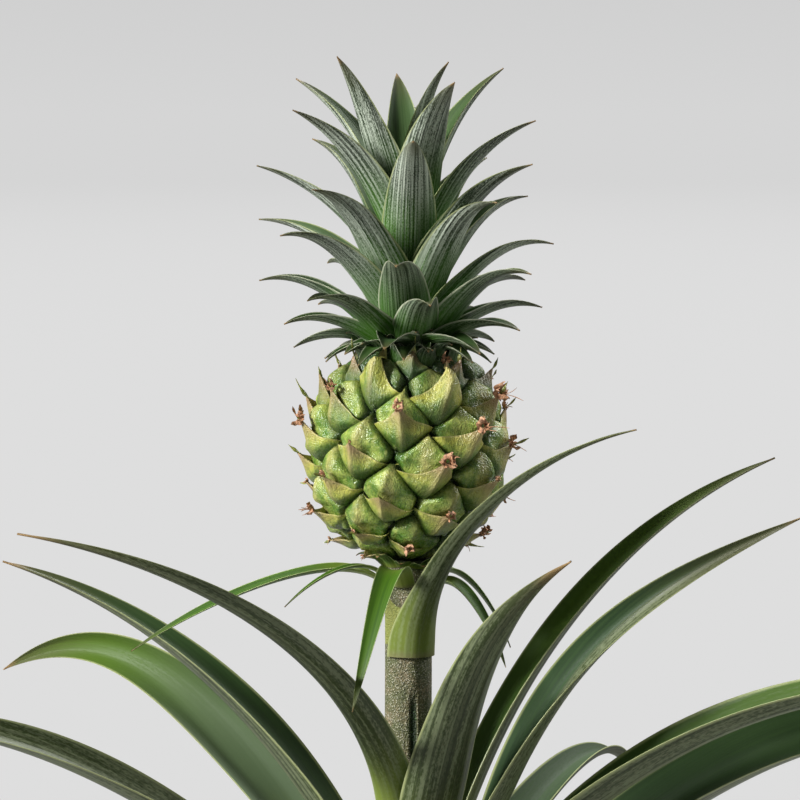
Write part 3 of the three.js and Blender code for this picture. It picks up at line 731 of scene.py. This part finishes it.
def lower_leaf(k):
    age = k / (LOWER_LEAVES - 1)
    tip_r = spread(LOWER_TIP_R, age) + LOWER_VARY * draw(k, 1)
    tip_z = spread(LOWER_TIP_Z, age) + LOWER_VARY * draw(k, 2)
    return dict(
        bearing=LOWER_0_BEARING + GOLDEN * k,
        z=LOWER_FOOT_TOP - LOWER_FOOT_STEP * k,
        tip=(tip_r, tip_z),
        leans=(spread(LOWER_FOOT_LEAN, age), LOWER_TIP_LEAN + LOWER_VARY * draw(k, 3)),
        half=spread(LOWER_HALF_WIDTH, age),
    )


def crown_blade(k):
    half = between(CROWN_HALF_WIDTH, k)
    tip_r = between(CROWN_TIP_R, k) + CROWN_REACHES.get(k, 0)
    tip_z = between(CROWN_TIP_Z, k) + CROWN_RISES.get(k, 0)
    return dict(
        bearing=CROWN_0_BEARING - GOLDEN * k + CROWN_TURNS.get(k, 0),
        foot=(between(CROWN_FOOT_R, k) - CROWN_ROOT_DEPTH, between(CROWN_FOOT_Z, k)),
        tip=(tip_r, tip_z),
        leans=CROWN_LEANS.get(k, (between(CROWN_FOOT_LEAN, k), between(CROWN_TIP_LEAN, k))),
        half=half,
        sheath=CROWN_SHEATH * half,
        **CROWN_LEAF,
    )


def build_leaves():
    rosette = [dict(zip(LEAF_COLUMNS, row)) for row in UPPER_LEAVES]
    rosette += [lower_leaf(k) for k in range(LOWER_LEAVES)]
    for k, leaf in enumerate(rosette, 1):
        shape = Shape()
        tone = TONES.get(k, USUAL_TONE)
        blade = seated(leaf, ROSETTE, TRUNK_R + GAP + LEAF_ROOM)
        blade_shape(shape, blade, k, tone, **DULL_SIDES.get(k, {}))
        shape.made(f"leaf_blade_{k:02d}", [LEAF], "leaf", f"rosette_leaf_{k:02d}")

    shape = Shape()
    blade_shape(shape, seated(CLASPING_LEAF, STALK_LEAF, STALK_R), 31, (0.6, 0.03, 0.2))
    shape.made("clasping_blade", [LEAF], "leaf", "clasping_leaf")
    for k, leaf in enumerate(STALK_LEAVES, 1):
        shape = Shape()
        blade_shape(shape, seated(leaf, STALK_LEAF, STALK_R), 40 + k, (0.8, 0.04, 0.1))
        shape.made(f"stalk_blade_{k:02d}", [STALK], "stalk_leaf", f"stalk_leaf_{k:02d}")


def build_crown():
    shape = Shape()
    core = [(0.1, CROWN_BASE), (CROWN_CORE_R, CROWN_BASE)]
    core += [(CROWN_CORE_TIP_R, CROWN_TIP), (0.1, CROWN_TIP + 1)]
    shape.grid(lathed(core, 24), closed=True)
    for k in CROWN_LEAVES:
        # The third number of a crown leaf's tone is a slight painted glow of light on its glossy face
        tone = (1, 0.05 + 0.03 * draw(k, 51), 0.1 + 0.1 * draw(k, 52))
        blade_shape(shape, crown_blade(k), 60 + k, tone, slot=int(k < OLD_CROWN_LEAVES))
    shape.made("crown_leaves", [CROWN, CROWN_LOW], "crown", "crown")


# Fruit


def fruit_radius(z):
    half = np.where(z < FRUIT_MIDDLE, FRUIT_FALL, FRUIT_RISE)
    return FRUIT_R * np.sqrt(np.maximum(1 - ((z - FRUIT_MIDDLE) / half) ** 2, 0))


def eye_frame(n):
    """An eye's middle on the fruit, and its directions across, up and out."""
    z = EYE_0_HEIGHT - n * (EYE_STEP_TOP if n < 0 else EYE_STEP)
    bearing = EYE_0_BEARING + EYE_DIVERGENCE * n + EYE_SHIFTS.get(n, 0)
    slope = float(fruit_radius(z + 0.5) - fruit_radius(z - 0.5))
    up = unit(outward(bearing) * slope + UP)
    across = outward(bearing + 90)
    place = outward(bearing) * float(fruit_radius(z)) + UP * z
    roll = math.radians(EYE_ROLL * draw(n, 91))
    turned = across * math.cos(roll) + up * math.sin(roll)
    return place, turned, up * math.cos(roll) - across * math.sin(roll), np.cross(across, up)


def eye_facts(n):
    """How low the eye sits, from 0 at the top to 1, then its size and the height of its beak."""
    t = (n - FIRST_EYE) / (LAST_EYE - FIRST_EYE)
    size = spread(EYE_SIZES, t) * (1 + 0.03 * draw(n, 3)) * min(1, 1 + 0.05 * (n - FIRST_EYE))
    return t, size, TALL_BEAKS.get(n, spread(BEAKS, t))


def lean_of(n):
    return BEAK_LEANS.get(n, 0.16 * draw(n, 21))


def eye_axes(size):
    """Half an eye's width and height, and how far its diamond is skewed."""
    return [v * size for v in (EYE_HALF_WIDTH, EYE_HALF_HEIGHT, EYE_SKEW_LEFT, EYE_SKEW_DOWN)]


def off_middle(alpha, beta):
    """The distance from an eye's middle, 1 at the edge of its diamond."""
    return (np.abs(alpha) ** EYE_POWER + np.abs(beta) ** EYE_POWER) ** (1 / EYE_POWER)


def diamond(a, b, size):
    """An eye's own coordinates from mm across and up, 1 at the corners of its diamond."""
    w, h, dx, dy = eye_axes(size)
    det = w * h + dx * dy
    return (a * h - b * dx) / det, (b * w + a * dy) / det


def hill(alpha, beta, inside, n, size):
    """How far an eye swells out of the fruit: steep at the grooves, highest where its floret dried."""
    crest = 0.16 + 0.08 * draw(n, 61)
    alpha = alpha - lean_of(n) * smooth(beta, -0.7, 0.3)
    swell = 6 * (1 - (1 - inside) ** 2) ** 0.6
    peak = 2.4 * np.exp(-(alpha**2) / 0.16 - (beta - crest) ** 2 / 0.2) * smooth(inside, 0, 0.8)
    spine = np.exp(-np.abs(alpha - 0.1 * (beta - crest)) / 0.13) * smooth(beta, 0, 0.25)
    spine = spine * smooth(inside, 0.1, 0.8)
    lobes = 0.35 * np.exp(-((np.abs(alpha) - 0.38) ** 2) / 0.03)
    lobes = lobes * smooth(beta, 0.05, 0.3) * smooth(inside, 0.3, 0.9)
    ribs = 0.16 * np.sin(alpha * 9 + 3 * draw(n, 63) + 1.5 * beta) * inside
    height = swell + (peak + spine) * LOW_EYES.get(n, 1) + lobes + ribs
    return size * (1 + 0.1 * draw(n, 62)) * height - EYE_DEEP


def fruit_body(shape):
    """One skin over the whole fruit, swollen inside every eye's diamond."""
    low = math.asin((FRUIT_BASE - FRUIT_MIDDLE) / FRUIT_FALL)
    high = math.asin((SKIN_TOP - FRUIT_MIDDLE) / FRUIT_RISE)
    phi = np.linspace(low, high, SKIN_ROWS)
    half = np.where(phi < 0, FRUIT_FALL, FRUIT_RISE)
    z = FRUIT_MIDDLE + half * np.sin(phi)
    girth = outward(turns(SKIN_COLUMNS))[None] * (FRUIT_R * np.cos(phi))[:, None, None]
    points = girth + UP * z[:, None, None]
    normal = unit(girth / FRUIT_R**2 + UP * ((z - FRUIT_MIDDLE) / half**2)[:, None, None])

    # Each point belongs to the nearest eye, and the grooves lie where two are equally near
    best = second = np.full(points.shape[:2], FAR)
    near = {}
    for n in EYES:
        place, across, up, out = eye_frame(n)
        away = points - place
        alpha, beta = diamond(away @ across, away @ up, eye_facts(n)[1])
        d = np.where(away @ out > -EYE_REACH, off_middle(alpha, beta), FAR)
        second = np.where(d < best, best, np.minimum(second, d))
        best = np.minimum(best, d)
        near[n] = alpha, beta, d
    inside = np.clip((second - best) / EYE_GROOVE, 0, 1)

    lift = eye = own = 0
    for n, (alpha, beta, d) in near.items():
        t, size, _ = eye_facts(n)
        here = d == best
        covered = smooth(beta, 0.16, 0)
        lift = np.where(here, hill(alpha, beta, inside, n, size) - 0.7 * covered * inside, lift)
        eye = np.where(here[..., None], triple(alpha, beta, inside), eye)
        own = np.where(here[..., None], (n * EYE_SEED, max(0, 1 - t * 4), 0), own)
    ends = smooth(z, FRUIT_BASE, FRUIT_BASE + 3) * smooth(z, SKIN_TOP + 0.2, SKIN_TOP - 1.5)
    points = points + normal * (lift * ends[:, None])[..., None]
    shape.grid(points, closed=True, eye=eye, own=own)
    top = shape.count - SKIN_COLUMNS
    for first, height in ((shape.count - points.size // 3, z[0]), (top, z[-1])):
        shape.add([[0, 0, height]], [])
        middle = shape.count - 1
        for i in range(SKIN_COLUMNS):
            edge = (first + i, first + (i + 1) % SKIN_COLUMNS, middle)
            shape.face(edge if first == top else edge[::-1], SKIN)


def bract(shape, n):
    """The keeled leaf over the lower half of an eye, which ends in a beak. Returns the beak's place."""
    place, across, up, out = eye_frame(n)
    t_age, size, beak = eye_facts(n)
    w, h, dx, dy = eye_axes(size)
    tall = n in TALL_BEAKS
    p = np.linspace(-1, 1, 27)
    p = np.sign(p) * np.abs(p) ** 1.25
    t = np.linspace(0, 1, 14)[:, None]
    off = np.abs(p)
    hump = np.exp(-((off / 0.32) ** (1.6 if tall else 2)))
    point = np.exp(-((off / 0.07) ** 1.3))
    foot = -((1 - off**EYE_POWER) ** (1 / EYE_POWER))
    dip = (0.06 + 0.05 * draw(n, 23)) * np.sin(off * math.pi)
    rise = 0.85 * beak / h + 0.16 if tall else 0.4 * beak / h + 0.14 + 0.06 * draw(n, 24)
    lip = -0.06 - 0.22 * t_age - dip + rise * hump + 0.06 * point
    lip = lip + 0.08 * smooth(off, 0.7, 1) + 0.05 * draw(n, 25) * p
    lip = lip + 0.035 * np.sin(7 * p + 6 * draw(n, 26)) * (1 - hump)
    alpha = p * (1 + 0.2 * t**2) + lean_of(n) * np.exp(-((p / 0.5) ** 2)) * t
    beta = foot + (lip - foot) * t
    inside = np.clip((1 - off_middle(alpha, beta)) * 2 / EYE_GROOVE, 0, 1)
    proud = LOW_EYES.get(n, 1)
    height = (
        hill(alpha, np.minimum(beta, 0.35), inside, n, size)
        + size * (0.3 + 2.5 * proud * np.exp(-off / 0.42) * smooth(t, 0, 0.4))
        - size * 0.7 * np.exp(-((off - 0.42) ** 2) / 0.04) * smooth(t, 0.2, 0.8)
        + 2.4 * t**3 * smooth(off, 0.5, 1)
        + (0.3 * beak + 0.6 if tall else 0.5 * proud) * hump * t**2
        + 0.5 * proud * point * t**6
        - (1 - t) ** 3
        + 0.22 * np.sin(p * 8 + 5 * draw(n, 22)) * t**2 * (1 - hump)
    )
    a, b = alpha * w + beta * dx, -alpha * dy + beta * h
    drop = -(a**2) / (2 * max(float(np.hypot(*place[:2])), 12)) - b**2 / 90
    outer = place + across * a[..., None] + up * b[..., None] + out * (height + drop)[..., None]
    inner = outer - out * (0.8 - 0.4 * t)[..., None]
    age = 0 if tall else min(1, max(0, 1.2 - t_age * 5))
    sheen = hump * smooth(t, 0.45, 1) * (0.35 if tall else 1)
    own = triple(n * EYE_SEED, age, sheen)
    for points, turned in ((outer, False), (inner, True)):
        shape.grid(points, slot=BRACT, flip=turned, bract=triple(p, t, 0), own=own)
    rows, columns = outer.shape[:2]
    top, under = shape.count - rows * columns - columns, shape.count - columns
    for i in range(columns - 1):
        shape.face((top + i, top + i + 1, under + i + 1, under + i), BRACT)
    return outer[-1, columns // 2], out, up, across


def strip(shape, start, heading, bend, side, length, width, slot, number, **marks):
    """A thin tapering curl, such as a dried petal or the tip of a bract."""
    rows = []
    for j in range(9):
        s = j / 8
        centre = start + heading * length * s + bend * length * s * s
        turned = unit(side * math.cos(2.2 * s) + np.cross(side, heading) * math.sin(2.2 * s))
        half = width * (1 - s) ** 0.6 * (0.8 + 0.35 * math.sin(8 * s + number)) + 0.07
        deep = np.cross(turned, heading) * (0.1 + 0.25 * half)
        rows.append([centre - turned * half, centre + deep, centre + turned * half, centre - deep])
    shape.grid(np.array(rows), closed=True, slot=slot, **marks)


def husk(shape, n, tip, out, up, across):
    """The dried floret at the beak: crumpled petals, and on some eyes longer threads."""
    size = HUSKS.get(n, 0.75 + 0.45 * draw(n, 32))
    if size < 0.2 or (n < -7 and n not in HUSKS):
        return
    for k in range(8):
        kind = 40 + 7 * k
        turn = math.radians(45 * k + 20 * draw(n, kind))
        flat = across * math.cos(turn) + up * math.sin(turn)
        heading = unit(out * 0.55 + up * 0.25 + flat * (0.8 + 0.3 * draw(n, kind + 1)))
        bend = unit(np.cross(heading, flat + 0.3 * up)) * 0.7 * draw(n, kind + 4) - flat * 0.35
        start = tip - out * 1.1 + up * 0.3 + flat * 0.75 * size
        side = unit(np.cross(heading, out))
        length = size * (2.9 + 1.2 * draw(n, kind + 2))
        strip(shape, start, heading, bend, side, length, 1.4 * size, HUSK, n + k)
    for k in range(round(THREADS.get(n, 1 + draw(n, 33)))):
        kind = 140 + 7 * k
        flat = across * draw(n, kind) + up * draw(n, kind + 1)
        heading = unit(out + flat * 0.9)
        bend = (up * draw(n, kind + 2) + across * draw(n, kind + 3)) * 0.5
        side = unit(np.cross(heading, up))
        length = size * (4.5 + 1.5 * draw(n, kind))
        strip(shape, tip - out * 0.5, heading, bend, side, length, 0.22, HUSK, k)


def awn(shape, n, tip, out, up, across):
    """The green point in which a bract ends, longest on the fruit's shoulders."""
    t = eye_facts(n)[0]
    length = AWNS.get(n, 2.2 + 1.6 * draw(n, 71) + 2.5 * (1 - t))
    if length < 1.5:
        return
    heading = unit(out * 0.85 + up * (0.25 + 0.25 * draw(n, 72)) + across * 0.3 * draw(n, 73))
    bend = up * (0.28 + 0.2 * draw(n, 74)) + across * 0.1 * draw(n, 75)
    start = tip - out * 1.6 - up * 0.5
    marks = dict(bract=(0.5, 0.6, 0), own=(n * EYE_SEED, 0.3, 0.25))
    strip(shape, start, heading, bend, across, length, 0.85, BRACT, n, **marks)


def small_bracts(shape):
    """Unopened ones round the foot of the crown, and thin leafy ones under the lowest eyes."""
    for k in range(22):
        foot_r, foot_z = 17.6 - 0.22 * k, 345.5 + 0.26 * k
        tip = (foot_r + 5.5 + 3 * draw(k, 82), foot_z + 6.5 + 2.5 * draw(k, 83))
        blade = dict(bearing=GOLDEN * k + 20, foot=(foot_r, foot_z), tip=tip, half=5.2 - 0.08 * k)
        blade = {**blade, **SHOULDER_BRACT, "leans": (4, 104 + 24 * draw(k, 84))}
        blade_shape(shape, blade, 200 + k, (0.7, 0.05, 0), slot=UNOPENED)
    for k in range(11):
        tip = (15.6 + 2.4 * draw(k, 86), 279 + 2 * draw(k, 87))
        blade = dict(bearing=GOLDEN * k + 22, foot=(8.6, 276.6 + 0.6 * draw(k, 85)), tip=tip)
        blade = {**blade, **FOOT_BRACT, "leans": (44, 132 + 20 * draw(k, 88))}
        blade_shape(shape, blade, 230 + k, (0.9, 0.2, 0), slot=LEAFY)


def build_fruit():
    shape = Shape()
    fruit_body(shape)
    for n in EYES:
        beak_place = bract(shape, n)
        husk(shape, n, *beak_place)
        awn(shape, n, *beak_place)
    small_bracts(shape)
    fruit_looks = [skin_material(), bract_material(), husk_material(), CROWN_LOW, STALK]
    shape.made("fruit_skin", fruit_looks, "fruit", "fruit", sharp=60)


# Lathed pieces


def lathed(profile, columns):
    """The points of a profile of radii and heights, turned all round."""
    profile = np.array(profile, float)
    return outward(turns(columns))[None] * profile[:, :1, None] + UP * profile[:, 1:, None]


def rounded(profile, radius, cuts=4):
    """The profile with its corners rounded, each by no more than its sides allow."""
    made = [profile[0]]
    for before, here, after in zip(profile, profile[1:], profile[2:]):
        before, here, after = (np.array(p, float) for p in (before, here, after))
        back, on = before - here, after - here
        r = min(radius, 0.45 * np.linalg.norm(back), 0.45 * np.linalg.norm(on))
        start, end = here + unit(back) * r, here + unit(on) * r
        for t in np.linspace(0, 1, cuts + 1):
            made.append(tuple((1 - t) ** 2 * start + 2 * t * (1 - t) * here + t * t * end))
    return made + [profile[-1]]


def pot_inside(z):
    heights = [POT_FLOOR, POT_NECK, POT_HEIGHT - POT_LIP_EDGE]
    return float(np.interp(z, heights, [POT_FOOT_R - POT_WALL, POT_NECK_R - POT_WALL, POT_MOUTH_R]))


def build_pot():
    low, high = POT_FOOT_R - 3, POT_FOOT_R - POT_WALL - 3
    outline = [
        (low, 0), (POT_FOOT_R, 0), (POT_NECK_R, POT_NECK), (POT_RIM_R, POT_NECK + POT_RIM_STEP),
        (POT_RIM_R, POT_HEIGHT), (POT_MOUTH_R, POT_HEIGHT), (POT_NECK_R - POT_WALL, POT_NECK),
        (POT_FOOT_R - POT_WALL, POT_FLOOR), (high, POT_FLOOR),
    ]
    shape = Shape()
    shape.grid(lathed(rounded(outline, 1.6), POT_COLUMNS), closed=True)

    # The floor in sectors, each with a drain hole through its middle
    sector = 360 / DRAIN_HOLES
    for k in range(DRAIN_HOLES):
        turn = sector * (k + np.linspace(0, 1, POT_COLUMNS // DRAIN_HOLES + 1))
        ray = np.linspace(0, 1, 9)[:, None]
        middle = outward(sector * (k + 0.5)) * DRAIN_RING_R
        rows = []
        for z, edge in ((0, low), (POT_FLOOR, high)):
            loop = [ray[:-1] * outward(turn[0]), outward(turn), ray[:0:-1] * outward(turn[-1])]
            loop = np.concatenate(loop) * edge
            hole = middle + unit(loop - middle) * DRAIN_R
            rows += [loop + UP * z, hole + UP * z] if z == 0 else [hole + UP * z, loop + UP * z]
        for row, after in zip(rows, rows[1:]):
            shape.grid(np.array([row, after]), closed=True)
    shape.made("pot_clay", [clay_material()], "pot", "pot")


def build_stem():
    outline = [
        (TRUNK_R - 1, STEM_FOOT), (TRUNK_R, STEM_FOOT + 4), (TRUNK_R, TRUNK_TOP - TRUNK_TAPER),
        (STALK_R, TRUNK_TOP), (STALK_R, STALK_TOP - STALK_FLARE), (STALK_TOP_R, STALK_TOP),
    ]
    heights = np.linspace(STEM_FOOT, STALK_TOP, 130)
    radii = np.interp(heights, [z for r, z in outline], [r for r, z in outline])
    profile = np.array([(0.1, STEM_FOOT), *zip(radii, heights), (0.1, STALK_TOP)])
    r, z = profile[:, :1], profile[:, 1:]
    turn = turns(STEM_COLUMNS)[None]

    # The green groove at the front, and the fresh band over the clasping leaf's sheath
    groove = smooth(np.abs((turn - 14 + 180) % 360 - 180), 12, 5)
    groove = groove * smooth(z, 205, 214) * smooth(z, 238, 228)
    slant = 264 - 0.11 * ((turn + 180) % 360 - 147)
    band = smooth(z, 248, 252) * smooth(z, slant + 1.5, slant - 1.5)
    ripple = 0.12 * np.sin(np.radians(turn * 5)) + 0.1 * np.sin(np.radians(turn * 9) + z * 0.05)
    lift = (ripple - 0.3 - 0.9 * groove) * (r > 1)
    points = lathed(profile, STEM_COLUMNS) + outward(turn) * lift[..., None]
    shape = Shape()
    shape.grid(points, closed=True, stem=triple(band, z, groove))
    shape.made("stem_bark", [bark_material()], "stem", "stem")


def build_soil():
    """The heaped soil with its lumps, and chips of bark that lie on it."""
    wall_r = pot_inside(SOIL_TOP) - 0.4
    crest = SOIL_TOP + SOIL_CROWN
    heap_r = [TRUNK_R, TRUNK_R + 3, SOIL_HEAP_R, wall_r - SOIL_EDGE, wall_r]
    heap_z = [crest - 0.6, crest, SOIL_TOP + SOIL_CROWN / 2, SOIL_TOP, SOIL_TOP - 1]
    rings = np.linspace(wall_r, TRUNK_R + GAP, 60)
    lower = [
        (0.1, POT_FLOOR + GAP), (pot_inside(POT_FLOOR) - 0.7, POT_FLOOR + GAP),
        (pot_inside(POT_NECK) - 0.4, POT_NECK),
    ]
    profile = np.array([*lower, *zip(rings, np.interp(rings, heap_r, heap_z))])
    r, z = profile[:, :1], profile[:, 1:]
    a = np.radians(turns(SOIL_COLUMNS))[None]
    lumps = sum(
        np.sin(a * k + 2 * draw(k, 1)) * np.sin(r * 0.11 * k + 3 * draw(k, 2)) for k in range(3, 14)
    )
    rim = smooth(r, wall_r, wall_r - 3) * smooth(r, TRUNK_R, TRUNK_R + 2) * (z > SOIL_TOP - 3)
    shape = Shape()
    shape.grid(lathed(profile, SOIL_COLUMNS) + UP * (0.28 * lumps * rim)[..., None], closed=True)

    corners = np.array([(x, y, z) for z in (-1, 1) for y in (-1, 1) for x in (-1, 1)], float)
    sides = [(0, 2, 3, 1), (4, 5, 7, 6), (0, 1, 5, 4), (2, 6, 7, 3), (0, 4, 6, 2), (1, 3, 7, 5)]
    rng = np.random.default_rng(7)
    for _ in range(CHIPS):
        r, a = math.sqrt(rng.uniform(13**2, (wall_r - 5) ** 2)), rng.uniform(0, 360)
        size = rng.uniform(0.9, 2.6)
        middle = outward(a) * r + UP * (float(np.interp(r, heap_r, heap_z)) + 0.1)
        box = corners * size * rng.uniform(0.35, 1, 3) + rng.uniform(-0.25, 0.25, (8, 3)) * size
        turned = np.radians(rng.uniform(0, 180))
        c, s = math.cos(turned), math.sin(turned)
        spin = np.array([[c, -s, 0], [s, c, 0], [0, 0, 1]])
        shape.add(box @ spin.T + middle, sides, slot=1)
    shape.made("soil_surface", [peat_material(), chip_material()], "soil", "soil")


# Stage


def build_stage():
    """A pale floor that fades far off into the same pale grey as the world."""
    n = Nodes("studio_floor")
    place = n.place()
    x, y, _ = n.split(place)
    far = n.math("SQRT", n.plus(n.times(x, x), n.times(y, y)))
    paint = n.mix(n.ramp(n.noise(place, 3, 2), 0.3, 0.7), grey(0.4), grey(0.42))
    n.finish(paint, 0.9)
    haze = n.mix(n.ramp(far, 5, 30), grey(SURROUNDINGS), grey(HORIZON))
    seen = n.node("LightPath").outputs["Is Camera Ray"]
    glow = n.node("Emission", {"Color": haze, "Strength": n.ramp(seen, 0, 1, FILL_STRENGTH, 1)})
    blend = n.node("MixShader", {0: n.ramp(far, 0.45, 1.3), 1: n.shader.outputs[0], 2: glow.outputs[0]})
    n.put(n.tree.nodes["Material Output"].inputs[0], blend.outputs[0])
    shape = Shape()
    radii = [400, 1000, 2500, 6000, 20000, 80000, 400000]
    shape.grid(lathed([(r, 0) for r in radii], FLOOR_COLUMNS), closed=True)
    shape.face(tuple(range(FLOOR_COLUMNS)), 0)
    floor = shape.build("studio_floor", [n.owner])


def build_world():
    """Pale surroundings, a weak light for the plant and shown brighter to the camera."""
    n = Nodes("studio", "worlds")
    lit = n.tree.nodes["Background"]
    n.put(lit.inputs["Color"], grey(1))
    n.put(lit.inputs["Strength"], FILL_STRENGTH * SURROUNDINGS)
    height = n.split(n.node("TexCoord").outputs["Generated"])[2]
    shown = n.node("MapRange", {"Value": height, "From Max": 0.03, "To Min": HORIZON, "To Max": SKY})
    shown = n.node("Background", {"Color": shown.outputs["Result"]})
    seen = n.node("LightPath").outputs["Is Camera Ray"]
    mixed = n.node("MixShader", {0: seen, 1: lit.outputs[0], 2: shown.outputs[0]})
    n.put(n.tree.nodes["World Output"].inputs["Surface"], mixed.outputs[0])
    bpy.context.scene.world = n.owner


def area_light(name, place, aim, size, power):
    """A round lamp that shines from its place towards its aim."""
    data = bpy.data.lights.new(name, "AREA")
    data.shape, data.size, data.energy = "DISK", size, power
    lamp = linked(name, data)
    lamp.location = place
    lamp.rotation_euler = (Vector(aim) - Vector(place)).to_track_quat("-Z", "Y").to_euler()


def build_camera():
    camera = linked("camera", bpy.data.cameras.new("camera"))
    camera.data.sensor_width = VIEW_SENSOR
    camera.data.lens = VIEW_SENSOR * VIEW_DISTANCE / VIEW_WIDTH
    camera.data.clip_start, camera.data.clip_end = 0.05, 900
    camera.location = VIEW_TARGET + Vector((0, -math.cos(VIEW_TILT), math.sin(VIEW_TILT))) * VIEW_DISTANCE
    camera.rotation_euler = (math.pi / 2 - VIEW_TILT, 0, 0)
    bpy.context.scene.camera = camera


LEAF = leaf_material(
    "rosette_leaf", ("343f1f", "7d8666"), ("21381b", "365029"), fresh="8a9c42", margin="a9b07a",
    scurf=0.65, green_to=0.42, fineness=0.55,
)
CROWN = leaf_material(
    "crown_leaf", ("1a2a13", "c4cebb"), ("263c1a", "4a6338"), fresh="40700f", margin="a9b07a",
    scurf=0.85, green_to=0.75, fineness=1,
)
CROWN_LOW = leaf_material(
    "low_crown_leaf", ("142509", "95a488"), ("1c3014", "3a5429"), fresh="3a6a0e", margin="c4c9ac",
    scurf=0.7, green_to=0.8, fineness=1,
)
STALK = leaf_material(
    "stalk_leaf", ("3f6418", "8b965c"), ("27490a", "4c7212"), fresh="8c9c40", margin="b4c284",
    scurf=0.4, green_to=0.5, fineness=0.8,
)

build_leaves()
build_crown()
build_fruit()
build_stem()
build_pot()
build_soil()
build_camera()
build_world()
build_stage()
area_light("key", (-1.45, -0.75, 1.15), (0, 0, 0.34), 0.5, 62)
area_light("top", (0.35, 0.75, 1.5), (0, 0, 0.3), 0.7, 28)
area_light("side", (1.5, 0.7, 1.0), (0, 0, 0.36), 0.7, 14)
bpy.context.scene.view_settings.view_transform = "Standard"
